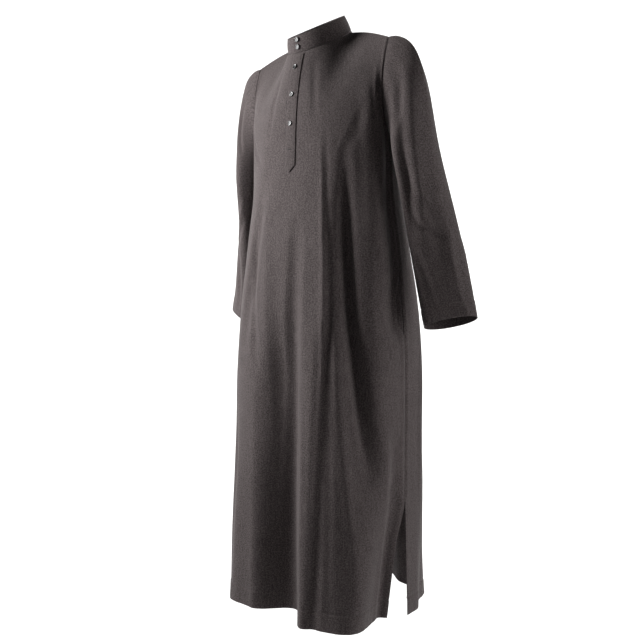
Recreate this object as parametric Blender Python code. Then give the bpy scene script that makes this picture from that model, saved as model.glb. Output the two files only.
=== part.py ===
"""Thobe robe, worn form with no wearer.

A long straight robe of plain cloth: front and back panel with side vents, two
set-in sleeves, a stand collar band, a pointed button placket, two side seam
pockets and five buttons. Metres, +Z up. The front faces -Y and the wearer's
left is +X. The origin is the middle of the neck base at the height of the
high shoulder point, where the wearer's neck and shoulders hold the robe.
"""
import math

import bpy
import numpy as np

# Cloth and seams
CLOTH = 0.0016            # wall of cloth
SEAM_GAP = 0.0003         # between two pieces sewn together
LENGTH = 1.33             # high shoulder point to hem
BACK_HEM_RISE = 0.022     # the back hem hangs this much higher

# Heights, measured from the high shoulder point
HEM_Z = -LENGTH
UNDERARM_Z = -0.245
VENT_TOP_Z = -1.062
POCKET_TOP_Z = -0.545
POCKET_BOTTOM_Z = -0.695

# Neck and shoulder
NECK_HALF_WIDTH = 0.078
NECK_HALF_DEPTH = 0.072
NECK_SLOPE = 0.56         # the neck base rises this much for each metre back
SHOULDER_NECK_Y = 0.026   # where the shoulder seam meets the neck base
SHOULDER_POINT = (0.206, 0.002, -0.028)
SHOULDER_ROUND = 0.005
FRONT_ARMHOLE_MIDDLE = (0.204, -0.019, -0.150)
BACK_ARMHOLE_MIDDLE = (0.200, 0.072, -0.150)
CENTRE_FRONT_MIDDLE = (0.0, -0.0925, -0.136)
CENTRE_BACK_MIDDLE = (0.0, 0.134, -0.072)

# Collar band
COLLAR_HEIGHT = 0.032
COLLAR_TOP_SCALE = 0.90
COLLAR_LEAN = -0.013
COLLAR_TIP = (0.08, -0.03)  # the top edge rises this much for each metre of x and of y
COLLAR_LAP = 13.0         # degrees each end runs past the centre front

# Placket and buttons
PLACKET_WIDTH = 0.034
PLACKET_TIP_Z = -0.322
PLACKET_POINT = 0.015
BUTTON_RADIUS = 0.0058
BUTTON_THICK = 0.0026
PLACKET_BUTTON_Z = (-0.076, -0.141, -0.209)
COLLAR_BUTTON_RISE = (0.011, 0.0245)

# Mesh counts
NECK_STEPS_FRONT = 10     # half of the front neckline
NECK_STEPS_BACK = 6       # half of the back neckline
SHOULDER_STEPS = 10
ARMHOLE_STEPS = 10
ROW_RUNS = ((HEM_Z, VENT_TOP_Z, 5), (VENT_TOP_Z, POCKET_BOTTOM_Z, 6),
            (POCKET_BOTTOM_Z, POCKET_TOP_Z, 5), (POCKET_TOP_Z, UNDERARM_Z, 4))
SLEEVE_STEPS_CAP = 5
SLEEVE_STEPS_LOWER = 7

# Body sections, hem to underarm. side_y is where the side seam lies, and
# square is the power of the superellipse, 2 for an ellipse.
#    z,    half_width, side_y, front_y, back_y, square
SECTIONS = (
    (-1.330, 0.212, 0.048, -0.150, 0.226, 3.3),
    (-1.120, 0.217, 0.046, -0.148, 0.218, 3.2),
    (-0.950, 0.220, 0.044, -0.144, 0.209, 3.2),
    (-0.700, 0.222, 0.040, -0.136, 0.198, 2.9),
    (-0.500, 0.212, 0.027, -0.120, 0.162, 2.5),
    (-0.360, 0.200, 0.018, -0.106, 0.142, 2.3),
    (-0.245, 0.200, 0.012, -0.100, 0.138, 2.2),
)

# Folds on a panel. u runs from 0 at the centre to 1 at the wearer's left side
# seam and to -1 at the right one, read at three heights. half_width is across
# the fold where half a panel is HALF_PANEL wide. depth is outwards for a ridge
# and inwards, negative, for a trough.
HALF_PANEL = 0.33
#    z_top,  z_low, u_top, u_mid, u_low, half_width, depth_top, depth_low, fade_top, fade_low
FRONT_FOLDS = (
    (-0.560, -1.330, 0.020, 0.000, 0.000, 0.080, -0.010, -0.066, 0.25, 0.0),
    (-0.640, -1.330, 0.300, 0.275, 0.240, 0.036, 0.004, 0.008, 0.20, 0.0),
    (-0.640, -1.330, 0.375, 0.350, 0.300, 0.024, -0.005, -0.006, 0.10, 0.0),
    (-0.280, -1.180, 0.600, 0.570, 0.760, 0.064, -0.014, -0.022, 0.25, 0.30),
    (-0.800, -1.330, 0.820, 0.740, 0.540, 0.060, 0.000, 0.006, 0.20, 0.0),
    (-0.950, -1.330, 0.920, 0.900, 0.880, 0.110, 0.000, -0.032, 0.10, 0.0),
    (-0.300, -0.720, 0.900, 0.905, 0.920, 0.034, -0.008, -0.010, 0.10, 0.05),
    (-0.090, -0.620, 0.810, 0.815, 0.830, 0.046, 0.006, 0.009, 0.14, 0.20),
    (-0.330, -0.800, -0.360, -0.370, -0.400, 0.034, -0.007, -0.007, 0.15, 0.20),
    (-0.900, -1.330, -0.420, -0.450, -0.470, 0.070, 0.002, 0.016, 0.20, 0.0),
    (-0.450, -1.330, -0.760, -0.800, -0.820, 0.060, -0.008, -0.018, 0.25, 0.0),
)
BACK_FOLDS = (
    (-0.330, -1.330, -0.620, -0.640, -0.660, 0.070, -0.008, -0.024, 0.25, 0.0),
    (-0.300, -1.330, -0.180, -0.220, -0.240, 0.075, -0.010, -0.032, 0.25, 0.0),
    (-0.420, -1.330, 0.060, 0.040, 0.020, 0.060, 0.004, 0.014, 0.25, 0.0),
    (-0.360, -1.330, 0.280, 0.300, 0.300, 0.070, -0.008, -0.028, 0.25, 0.0),
    (-0.520, -1.330, 0.620, 0.660, 0.680, 0.060, -0.004, -0.018, 0.25, 0.0),
)

# Sleeve, the wearer's left. The right one mirrors it with its own folds.
# Each arm is its axis' top, how far the middle bends off it, and the cuff's middle.
LEFT_ARM = ((0.243, 0.010, -0.170), (-0.006, 0.016, 0.0), (0.322, 0.072, -0.664))
RIGHT_ARM = ((0.227, 0.010, -0.170), (0.003, 0.016, 0.0), (0.347, 0.070, -0.666))
#    along, half_long, half_short, turn in degrees from +X
SLEEVE_RINGS = (
    (0.25, 0.066, 0.044, 84.0),
    (0.45, 0.064, 0.038, 70.0),
    (0.70, 0.061, 0.034, 50.0),
    (1.00, 0.059, 0.024, 30.0),
)
CUFF_TILT = 0.012         # the back lip of the cuff hangs lower
LEAVE_UNDERARM = (0.35, 0.05, -1.0)   # which way the sleeve leaves the armhole
LEAVE_SHOULDER = (1.0, 0.0, -0.05)
CAP_PULL = 0.40           # how far it keeps to that way, as a share of the cap
#    along_top, along_low, angle_top, angle_low, half_width, depth
LEFT_SLEEVE_FOLDS = (
    (0.055, 0.64, 106.0, 84.0, 38.0, -0.016),
    (0.30, 1.00, 150.0, 120.0, 30.0, -0.004),
    (0.12, 0.75, 235.0, 262.0, 42.0, -0.008),
)
RIGHT_SLEEVE_FOLDS = (
    (0.05, 0.55, 66.0, 54.0, 44.0, -0.005),
    (0.15, 0.80, 132.0, 104.0, 40.0, -0.004),
    (0.30, 0.95, 246.0, 268.0, 42.0, -0.008),
)

# How far the panel edges stand apart
VENT_OPEN_FRONT = 0.032
VENT_OPEN_BACK = 0.013
POCKET_OPEN = 0.022

# Pocket bag behind the mouth
POCKET_DEEP = 0.110
POCKET_STAND_OFF = 0.0175
POCKET_STEPS = 7

CLOTH_COLOUR = (0.050, 0.042, 0.040, 1.0)
BUTTON_COLOUR = (0.020, 0.019, 0.020, 1.0)


def cubic(x, xs, ys):
    """Smooth curve through a short table: Hermite pieces with mean slopes."""
    xs, ys = np.asarray(xs, float), np.asarray(ys, float)
    slope = np.gradient(ys, xs)
    x = np.clip(x, xs[0], xs[-1])
    k = np.clip(np.searchsorted(xs, x, side="right") - 1, 0, len(xs) - 2)
    step = xs[k + 1] - xs[k]
    t = (x - xs[k]) / step
    return ((2 * t**3 - 3 * t**2 + 1) * ys[k] + (t**3 - 2 * t**2 + t) * step * slope[k]
            + (3 * t**2 - 2 * t**3) * ys[k + 1] + (t**3 - t**2) * step * slope[k + 1])


def ramp(x, low, high):
    """0 below low, 1 above high, and a soft S between them."""
    t = np.clip((x - low) / max(high - low, 1e-9), 0.0, 1.0)
    return t * t * (3 - 2 * t)


def unit(vector):
    vector = np.asarray(vector, float)
    return vector / np.linalg.norm(vector, axis=-1, keepdims=True)


def bump(x, half_width):
    """A raised cosine, 1 at 0 and 0 from half_width on."""
    return np.where(np.abs(x) < half_width, 0.5 + 0.5 * np.cos(np.pi * x / half_width), 0.0)


def along(points, share):
    """Points at equal shares of the length of a dense line of points."""
    run = np.concatenate(([0.0], np.cumsum(np.linalg.norm(np.diff(points, axis=0), axis=1))))
    at = share * run[-1]
    return np.stack([np.interp(at, run, points[:, k]) for k in range(3)], axis=-1), run[-1]


def section_values(z):
    """half_width, side_y, front_y, back_y and square at a height."""
    table = np.array(SECTIONS)
    return [cubic(z, table[:, 0], table[:, k]) for k in range(1, 6)]


def section_line(z, is_front, share):
    """Half of a body section, centre to the wearer's left side seam, by length."""
    half_width, side_y, front_y, back_y, square = section_values(z)
    s = np.linspace(0.0, 1.0, 240)
    angle = 0.5 * np.pi * (3 * s**2 - 2 * s**3)
    reach = (front_y if is_front else back_y) - side_y
    x = half_width * np.sin(angle) ** (2 / square)
    y = side_y + reach * np.abs(np.cos(angle)) ** (2 / square)
    rise = 0.0 if is_front else BACK_HEM_RISE * ramp(-z, -VENT_TOP_Z, -HEM_Z)
    height = np.full_like(x, z) + rise * (1 - x / half_width)
    return along(np.stack([x, y, height], axis=-1), share)


def neck_ring(angle, rise=0.0, scale=1.0, lean=0.0):
    """Point on the neck base, angle 0 at the front and 90 at the wearer's left."""
    y = -NECK_HALF_DEPTH * scale * np.cos(angle)
    x = NECK_HALF_WIDTH * scale * np.sin(angle)
    return np.stack([x, y + lean, NECK_SLOPE * y + rise], axis=-1)


SEAM_ANGLE = math.pi - math.acos(SHOULDER_NECK_Y / NECK_HALF_DEPTH)


def top_line(is_front):
    """Half of a panel's top edge: the neckline, then the shoulder seam."""
    start, count = (0.0, NECK_STEPS_FRONT) if is_front else (math.pi, NECK_STEPS_BACK)
    neck = neck_ring(np.linspace(start, SEAM_ANGLE, count + 1))
    t = np.linspace(0.0, 1.0, SHOULDER_STEPS + 1)[1:, None]
    seam = neck[-1] * (1 - t) + np.array(SHOULDER_POINT) * t
    seam[:, 2] += SHOULDER_ROUND * np.sin(np.pi * t[:, 0])
    side = -1.0 if is_front else 1.0
    both = np.concatenate([neck, seam])
    both[count:, 1] += side * 0.5 * SEAM_GAP
    return both


def bend(start, middle, end, t):
    """Quadratic curve through three points, the second one at t = 0.5."""
    start, middle, end = (np.array(p, float) for p in (start, middle, end))
    control = 2 * middle - 0.5 * (start + end)
    t = np.asarray(t, float)[:, None]
    return (1 - t) ** 2 * start + 2 * t * (1 - t) * control + t**2 * end


def side_point():
    return np.array([SECTIONS[-1][1], SECTIONS[-1][2], UNDERARM_Z])


def armhole_line(is_front, t):
    """The armhole edge on the wearer's left, from the underarm to the shoulder."""
    middle = FRONT_ARMHOLE_MIDDLE if is_front else BACK_ARMHOLE_MIDDLE
    return bend(side_point(), middle, SHOULDER_POINT, t)


def centre_line(is_front, t):
    """The centre front or back, from underarm height to the neckline."""
    front_y, back_y = SECTIONS[-1][3:5]
    if is_front:
        low, middle, neck_y = (0.0, front_y, UNDERARM_Z), CENTRE_FRONT_MIDDLE, -NECK_HALF_DEPTH
    else:
        low, middle, neck_y = (0.0, back_y, UNDERARM_Z), CENTRE_BACK_MIDDLE, NECK_HALF_DEPTH
    return bend(low, middle, (0.0, neck_y, NECK_SLOPE * neck_y), t)


def shares(is_front):
    """Shares across half a panel: neckline columns, then shoulder columns."""
    neck = NECK_STEPS_FRONT if is_front else NECK_STEPS_BACK
    return np.linspace(0.0, 1.0, neck + SHOULDER_STEPS + 1)


def upper_half(is_front):
    """Half a panel above the underarm, a patch between its four edge lines."""
    u = shares(is_front)[None, :, None]
    t = np.linspace(0.0, 1.0, ARMHOLE_STEPS + 1)
    bottom, _ = section_line(UNDERARM_Z, is_front, shares(is_front))
    top = top_line(is_front)
    centre, hole = centre_line(is_front, t)[:, None], armhole_line(is_front, t)[:, None]
    side = bend(side_point(), (side_point() + SHOULDER_POINT) / 2, SHOULDER_POINT, t)[:, None]
    t = t[:, None, None]
    chord = (1 - u) * centre + u * side + u**4 * (hole - side)
    low = bottom[None] - ((1 - u) * bottom[0] + u * bottom[-1])
    high = top[None] - ((1 - u) * top[0] + u * top[-1])
    return chord + (1 - t**2) * low + t**2 * high


def row_heights():
    """Heights of the rows from the hem up to just below the underarm."""
    rows = [np.linspace(low, high, count + 1)[:-1] for low, high, count in ROW_RUNS]
    return np.concatenate(rows)


def edge_pull(z, is_front, vent_share, pocket_share):
    """How far a panel's side edge stands back from the seam at a height."""
    vent = np.clip((VENT_TOP_Z - z) / (VENT_TOP_Z - HEM_Z), 0.0, 1.0)
    if not is_front:
        return VENT_OPEN_BACK * vent * vent_share
    mouth = ramp(z, POCKET_BOTTOM_Z - 0.001, POCKET_BOTTOM_Z + 0.028)
    mouth = mouth * (1 - ramp(z, POCKET_TOP_Z - 0.075, POCKET_TOP_Z))
    return VENT_OPEN_FRONT * vent * vent_share + POCKET_OPEN * mouth * pocket_share


def lower_rows(is_front, left_open, right_open):
    """Rows below the underarm over the whole width, right seam to left seam."""
    half = shares(is_front)
    u = np.concatenate([-half[:0:-1], half])
    rows = []
    for z in row_heights():
        _, length = section_line(z, is_front, half)
        pull = np.where(u < 0, edge_pull(z, is_front, *right_open),
                        edge_pull(z, is_front, *left_open))
        cut = 1 - (0.5 * SEAM_GAP + pull * np.abs(u) ** 5) / length
        line, _ = section_line(z, is_front, np.abs(u) * cut)
        line[:, 0] *= np.where(u < 0, -1.0, 1.0)
        rows.append(line)
    return np.array(rows)


def mirror_halves(half):
    """A whole row set from its left half, in order of x."""
    return np.concatenate([half[:, :0:-1] * np.array([-1.0, 1.0, 1.0]), half], axis=1)


def normals(grid):
    """Unit normals of a grid of points, rows going up and columns to +X."""
    across = np.gradient(grid, axis=1)
    up = np.gradient(grid, axis=0)
    normal = np.cross(across, up)
    return normal / np.linalg.norm(normal, axis=-1, keepdims=True)


def seam_normals(grid, is_front):
    """Outward normals, with those on a seam shared by the panels that meet there."""
    normal = normals(grid)
    rows = len(row_heights()) + 1
    normal[:rows, (0, -1), 1] = 0.0
    side = np.sign(grid[rows:, (0, -1), 0])
    normal[rows:, (0, -1), 0] = side * np.maximum(side * normal[rows:, (0, -1), 0], 0.25)
    neck = NECK_STEPS_FRONT if is_front else NECK_STEPS_BACK
    middle = grid.shape[1] // 2
    column = np.arange(grid.shape[1]) - middle
    share = np.clip(np.abs(column) / neck, 0.0, 1.0)[:, None] ** 2
    shoulder = np.stack([0.38 * np.sign(grid[-1, :, 0]), 0.0 * column, 1.0 + 0.0 * column], axis=-1)
    normal[-1] = (1 - share) * normal[-1] + share * unit(shoulder + 1e-9)
    return unit(normal)


def fold_depth(folds, u, z):
    """Sum of the folds at (u, z), outwards positive."""
    total = np.zeros(np.broadcast(u, z).shape)
    for z_top, z_low, u_top, u_mid, u_low, width, depth_top, depth_low, in_top, in_low in folds:
        s = np.clip((z_top - z) / (z_top - z_low), 0.0, 1.0)
        centre = u_top * (1 - s) * (1 - 2 * s) + 4 * u_mid * s * (1 - s) + u_low * s * (2 * s - 1)
        size = (depth_top + (depth_low - depth_top) * s) * ramp(z_top - z, 0.0, in_top)
        if in_low > 0:
            size = size * (1 - ramp(-z, -z_low - in_low, -z_low))
        total = total + size * bump((u - centre) * HALF_PANEL, width)
    return total


def panel_grid(is_front):
    """Outer points of the front or back panel, rows from the hem to the top."""
    if is_front:
        lower = lower_rows(True, (1.0, 1.0), (0.8, 0.35))
    else:
        lower = lower_rows(False, (1.0, 0.0), (0.8, 0.0))
    upper = mirror_halves(upper_half(is_front))
    upper[:-1, (0, -1), 1] += (-0.5 if is_front else 0.5) * SEAM_GAP
    upper[:, (0, -1), 0] -= np.sign(upper[:, (0, -1), 0]) * 0.5 * SEAM_GAP
    grid = np.concatenate([lower, upper])
    half = shares(is_front)
    u = np.concatenate([-half[:0:-1], half])[None, :]
    normal = normals(grid) * (1.0 if is_front else -1.0)
    folds = FRONT_FOLDS if is_front else BACK_FOLDS
    depth = fold_depth(folds, u, grid[:, :, 2])
    free = ramp(-grid[:, :, 2], -VENT_TOP_Z, -VENT_TOP_Z + 0.10)
    depth = depth * (1 - np.abs(u) ** 12 * (1 - free))
    return grid + normal * depth[..., None]


def shell(grid, inward, thickness, closed_across=False):
    """A closed wall: the outer grid, its copy moved inwards, and the rims.

    Faces of the outer grid point along across x up, so a grid that runs the
    other way is turned by its caller.
    """
    rows, cols = grid.shape[:2]
    inner = grid + inward * thickness
    vertices = np.concatenate([grid.reshape(-1, 3), inner.reshape(-1, 3)])
    count = rows * cols
    faces = []

    def number(r, c, layer):
        return layer * count + r * cols + c % cols

    spans = cols if closed_across else cols - 1
    for r in range(rows - 1):
        for c in range(spans):
            quad = [(r, c), (r, c + 1), (r + 1, c + 1), (r + 1, c)]
            faces.append([number(a, b, 0) for a, b in quad])
            faces.append([number(a, b, 1) for a, b in reversed(quad)])
    for c in range(spans):
        faces.append([number(0, c + 1, 0), number(0, c, 0), number(0, c, 1), number(0, c + 1, 1)])
        top = rows - 1
        faces.append([number(top, c, 0), number(top, c + 1, 0), number(top, c + 1, 1),
                      number(top, c, 1)])
    if not closed_across:
        for r in range(rows - 1):
            faces.append([number(r, 0, 0), number(r + 1, 0, 0), number(r + 1, 0, 1),
                          number(r, 0, 1)])
            last = cols - 1
            faces.append([number(r + 1, last, 0), number(r, last, 0), number(r, last, 1),
                          number(r + 1, last, 1)])
    return vertices, faces


def material(name, colour, roughness):
    found = bpy.data.materials.get(name)
    if found:
        return found
    made = bpy.data.materials.new(name)
    made.use_nodes = True
    shader = made.node_tree.nodes["Principled BSDF"]
    shader.inputs["Base Color"].default_value = colour
    shader.inputs["Roughness"].default_value = roughness
    return made


def add_piece(name, vertices, faces, made_of, sharp=40.0):
    """One named solid from its points and faces."""
    mesh = bpy.data.meshes.new(name)
    mesh.from_pydata(np.asarray(vertices).tolist(), [], faces)
    mesh.validate()
    mesh.shade_smooth()
    mesh.set_sharp_from_angle(angle=math.radians(sharp))
    mesh.materials.append(made_of)
    piece = bpy.data.objects.new(name, mesh)
    bpy.context.collection.objects.link(piece)
    return piece


def cloth():
    return material("cloth", CLOTH_COLOUR, 0.9)


def build_panel(name, is_front):
    grid = panel_grid(is_front)
    if not is_front:
        grid = grid[:, ::-1]
    vertices, faces = shell(grid, -seam_normals(grid, is_front), CLOTH)
    add_piece(name, vertices, faces, cloth())
    return grid


def sleeve_ring(arm, share, angles):
    """Points round the sleeve: 0 is the underarm side and 90 the front."""
    top, middle_bend, cuff = np.array(arm)
    axis = unit(cuff - top)
    table = np.array(SLEEVE_RINGS)
    half_long, half_short, turn = (cubic(share, table[:, 0], table[:, k]) for k in (1, 2, 3))
    outward = unit(np.array([1.0, 0, 0]) - axis * axis[0])
    forward = np.cross(axis, outward)
    long_way = math.radians(-turn)
    spread = np.array([[math.cos(long_way), -math.sin(long_way)],
                       [math.sin(long_way), math.cos(long_way)]])
    stretch = spread @ np.diag([half_long, half_short]) @ spread.T
    flat = np.stack([-np.cos(angles), np.sin(angles)], axis=-1) @ stretch.T
    centre = top + (cuff - top) * share + 4 * share * (1 - share) * middle_bend
    ring = centre + flat[:, :1] * outward + flat[:, 1:] * forward
    to_camera_side = flat @ spread[:, 1] / half_short
    ring[:, 2] += CUFF_TILT * ramp(share, 0.85, 1.0) * to_camera_side
    return ring, axis


def sleeve_grid(arm, folds):
    """Rows from the cuff up to the armhole, columns round the wearer's left arm."""
    t = np.linspace(0.0, 1.0, ARMHOLE_STEPS + 1)
    front, back = armhole_line(True, t), armhole_line(False, t)
    hole = np.concatenate([front, back[-2:0:-1]])
    hole[:, 0] += 0.5 * SEAM_GAP
    angles = np.concatenate([np.pi * t, 2 * np.pi - np.pi * t[-2:0:-1]])
    first = SLEEVE_RINGS[0][0]
    ring, axis = sleeve_ring(arm, first, angles)
    lift = (0.5 - 0.5 * np.cos(angles))[:, None]
    leave = unit((1 - lift) * np.array(LEAVE_UNDERARM) + lift * np.array(LEAVE_SHOULDER))
    pull = CAP_PULL * np.linalg.norm(ring - hole, axis=1, keepdims=True)
    one, two = hole + pull * leave, ring - pull * axis
    rows = []
    for s in np.linspace(0.0, 1.0, SLEEVE_STEPS_CAP + 1)[:-1]:
        rows.append((1 - s) ** 3 * hole + 3 * s * (1 - s) ** 2 * one
                    + 3 * s * s * (1 - s) * two + s**3 * ring)
    lower = np.linspace(first, 1.0, SLEEVE_STEPS_LOWER + 1)
    rows += [sleeve_ring(arm, share, angles)[0] for share in lower]
    grid = np.array(rows)[::-1]
    share = np.concatenate([np.linspace(0.0, first, SLEEVE_STEPS_CAP + 1)[:-1], lower])[::-1]
    degrees = np.degrees(angles)[None, :]
    depth = np.zeros(grid.shape[:2])
    for top, low, angle_top, angle_low, width, size in folds:
        s = np.clip((share - top) / (low - top), 0.0, 1.0)[:, None]
        centre = angle_top + (angle_low - angle_top) * s
        depth += size * np.sin(np.pi * s) * bump((degrees - centre + 180) % 360 - 180, width)
    closed = np.concatenate([grid[:, -1:], grid, grid[:, :1]], axis=1)
    outward = normals(closed)[:, 1:-1]
    return grid + outward * depth[..., None]


def build_sleeve(name, arm, folds, mirrored):
    grid = sleeve_grid(arm, folds)
    if mirrored:
        grid = grid[:, ::-1] * np.array([-1.0, 1.0, 1.0])
    closed = np.concatenate([grid[:, -1:], grid, grid[:, :1]], axis=1)
    inward = -normals(closed)[:, 1:-1]
    vertices, faces = shell(grid, inward, CLOTH, closed_across=True)
    add_piece(name, vertices, faces, cloth())


def collar_angles():
    """Stations round the collar, the neckline's own and the two lapping ends."""
    front = np.linspace(0.0, SEAM_ANGLE, NECK_STEPS_FRONT + 1)
    back = np.linspace(SEAM_ANGLE, math.pi, NECK_STEPS_BACK + 1)[1:]
    half = np.concatenate([front, back])
    lap = math.radians(COLLAR_LAP)
    right_way = -half
    left_way = half[::-1][1:] - 2 * math.pi
    return np.concatenate([[lap], right_way, left_way, [-2 * math.pi - lap]])


def build_collar():
    """The band starts under the left end, goes round by the right, and laps over."""
    angles = collar_angles()
    turned = -np.degrees(angles)
    under = (CLOTH + SEAM_GAP) * (1 - ramp(turned, COLLAR_LAP + 3.0, COLLAR_LAP + 45.0))
    rows = []
    for share in np.linspace(0.0, 1.0, 3):
        scale = 1 + (COLLAR_TOP_SCALE - 1) * share**1.3
        row = neck_ring(angles, SEAM_GAP + COLLAR_HEIGHT * share, scale, COLLAR_LEAN * share)
        row[:, 2] += share * (row[:, :2] @ np.array(COLLAR_TIP))
        rows.append(row)
    grid = np.array(rows)
    away = unit(grid * np.array([1.0, 1.0, 0.0]))
    grid = grid - away * under[None, :, None]
    grid = grid[:, ::-1]
    inward = -normals(grid)
    inward = unit(inward * np.array([1.0, 1.0, 0.25]))
    vertices, faces = shell(grid, inward, CLOTH)
    add_piece("collar_band", vertices, faces, cloth())


def surface_at(grid, x_wanted, z_wanted):
    """Point and normal of a front grid where it crosses x and z."""
    normal = normals(grid)
    middle = grid.shape[1] // 2
    columns = slice(middle - 3, middle + 4)
    heights = grid[:, middle, 2]
    row = np.clip(np.searchsorted(heights, z_wanted) - 1, 0, len(heights) - 2)
    part = (z_wanted - heights[row]) / (heights[row + 1] - heights[row])
    points = grid[row, columns] * (1 - part) + grid[row + 1, columns] * part
    ways = normal[row, columns] * (1 - part) + normal[row + 1, columns] * part
    point = np.array([np.interp(x_wanted, points[:, 0], points[:, k]) for k in range(3)])
    way = np.array([np.interp(x_wanted, points[:, 0], ways[:, k]) for k in range(3)])
    point[0] = x_wanted
    return point, unit(way)


def build_placket(grid):
    """A strip laid on the front panel, pointed at its lower end."""
    top_z = grid[-1, grid.shape[1] // 2, 2] - 0.004
    heights = np.concatenate([[PLACKET_TIP_Z + PLACKET_POINT],
                              np.linspace(PLACKET_TIP_Z + 0.03, top_z, 13)])
    across = np.linspace(-0.5, 0.5, 5) * PLACKET_WIDTH
    rows, ways = [], []
    tip = [surface_at(grid, x, PLACKET_TIP_Z + PLACKET_POINT * abs(2 * x / PLACKET_WIDTH))
           for x in across]
    rows.append([p for p, _ in tip])
    ways.append([n for _, n in tip])
    for z in heights[1:]:
        line = [surface_at(grid, x, z) for x in across]
        rows.append([p for p, _ in line])
        ways.append([n for _, n in line])
    points, normal = np.array(rows), np.array(ways)
    outer = points + normal * (CLOTH + 2 * SEAM_GAP)
    vertices, faces = shell(outer, -normal, CLOTH)
    add_piece("placket", vertices, faces, cloth())


def build_button(name, centre, way):
    """A turned disc with a raised rim and a dished face, lying on the cloth."""
    profile = ((0.0, 0.0), (0.80, 0.0), (1.0, 0.30), (1.0, 0.70), (0.86, 1.0), (0.62, 0.78),
               (0.0, 0.70))
    sides = 16
    way = unit(way)
    side = unit(np.cross(way, [0.0, 0.0, 1.0]))
    over = np.cross(side, way)
    turn = np.linspace(0, 2 * np.pi, sides, endpoint=False)
    vertices, rings = [], []
    for radius, height in profile:
        base = centre + way * height * BUTTON_THICK
        if radius == 0.0:
            rings.append([len(vertices)])
            vertices.append(base)
            continue
        rings.append(list(range(len(vertices), len(vertices) + sides)))
        spoke = np.outer(np.cos(turn), side) + np.outer(np.sin(turn), over)
        vertices.extend(base + spoke * radius * BUTTON_RADIUS)
    faces = []
    for low, high in zip(rings, rings[1:]):
        for k in range(sides):
            n = (k + 1) % sides
            if len(low) == 1:
                faces.append([low[0], high[k], high[n]])
            elif len(high) == 1:
                faces.append([low[k], high[0], low[n]])
            else:
                faces.append([low[k], high[k], high[n], low[n]])
    add_piece(name, vertices, faces, material("button", BUTTON_COLOUR, 0.3), 30.0)


def build_buttons(grid):
    stand_off = CLOTH + 3 * SEAM_GAP
    for number, z in enumerate(PLACKET_BUTTON_Z):
        point, way = surface_at(grid, 0.0, z)
        build_button(f"button_placket_{number + 1}", point + way * stand_off, way)
    for number, rise in enumerate(COLLAR_BUTTON_RISE):
        share = rise / COLLAR_HEIGHT
        scale = 1 + (COLLAR_TOP_SCALE - 1) * share**1.3
        point = neck_ring(np.array([0.0]), rise, scale, COLLAR_LEAN * share)[0]
        point[2] += share * (point[:2] @ np.array(COLLAR_TIP))
        way = unit([0.0, -1.0, -0.14])
        build_button(f"button_collar_{number + 1}", point + way * 4 * SEAM_GAP, way)


def build_pocket(name, side):
    """The bag's wall behind the pocket mouth, from the side seam forwards."""
    rows = []
    for z in np.linspace(POCKET_BOTTOM_Z - 0.02, POCKET_TOP_Z + 0.01, POCKET_STEPS + 1):
        _, length = section_line(z, True, np.array([1.0]))
        share = 1 - np.linspace(CLOTH, POCKET_DEEP, POCKET_STEPS + 1) / length
        line, _ = section_line(z, True, share)
        rows.append(line)
    grid = np.array(rows)
    inward = normals(grid)
    deep = ramp(np.linspace(0.0, 1.0, POCKET_STEPS + 1), 0.0, 0.35)[None, :, None]
    grid = grid + inward * (CLOTH + 1.5 * SEAM_GAP + POCKET_STAND_OFF * deep)
    if side < 0:
        grid = grid * np.array([-1.0, 1.0, 1.0])
    else:
        grid = grid[:, ::-1]
    vertices, faces = shell(grid, -normals(grid), CLOTH)
    add_piece(name, vertices, faces, cloth())


def main():
    for thing in list(bpy.data.objects):
        bpy.data.objects.remove(thing)
    front = build_panel("front_panel", True)
    build_panel("back_panel", False)
    build_sleeve("left_sleeve", LEFT_ARM, LEFT_SLEEVE_FOLDS, False)
    build_sleeve("right_sleeve", RIGHT_ARM, RIGHT_SLEEVE_FOLDS, True)
    build_collar()
    build_placket(front)
    build_buttons(front)
    build_pocket("left_pocket", 1)
    build_pocket("right_pocket", -1)


main()
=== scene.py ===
"""Dressed model of a long robe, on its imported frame.

Every cloth piece is a thin closed wall. Its outer face is a surface of two
parameters, worked out with numpy, that lies on its solid's form and adds the
creases, the hems and the sewn edges. Metres, +Z up. The front faces -Y and the
wearer's left is +X.
"""
import math

import bpy
import numpy as np
from bpy.props import FloatProperty, FloatVectorProperty, IntProperty, PointerProperty
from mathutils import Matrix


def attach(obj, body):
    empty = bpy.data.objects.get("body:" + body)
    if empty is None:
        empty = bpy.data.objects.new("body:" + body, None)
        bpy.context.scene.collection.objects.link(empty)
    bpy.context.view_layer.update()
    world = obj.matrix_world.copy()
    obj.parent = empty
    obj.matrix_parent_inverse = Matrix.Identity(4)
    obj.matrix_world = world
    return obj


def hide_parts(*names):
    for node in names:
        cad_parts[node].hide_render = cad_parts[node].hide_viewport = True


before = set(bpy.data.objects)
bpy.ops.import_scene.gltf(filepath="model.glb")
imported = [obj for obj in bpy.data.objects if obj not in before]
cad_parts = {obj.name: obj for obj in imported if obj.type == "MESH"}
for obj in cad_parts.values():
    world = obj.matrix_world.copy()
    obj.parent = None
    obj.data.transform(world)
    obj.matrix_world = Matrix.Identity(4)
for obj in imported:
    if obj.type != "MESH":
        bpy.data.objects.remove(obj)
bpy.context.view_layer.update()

bl_info = {
    "name": "Long Robe Dresser",
    "version": (1, 0, 0),
    "blender": (4, 5, 0),
    "location": "3D View > Sidebar > Robe",
    "description": "Puts cloth, stitching and buttons on the frame of a long robe",
    "category": "Add Mesh",
}

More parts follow.
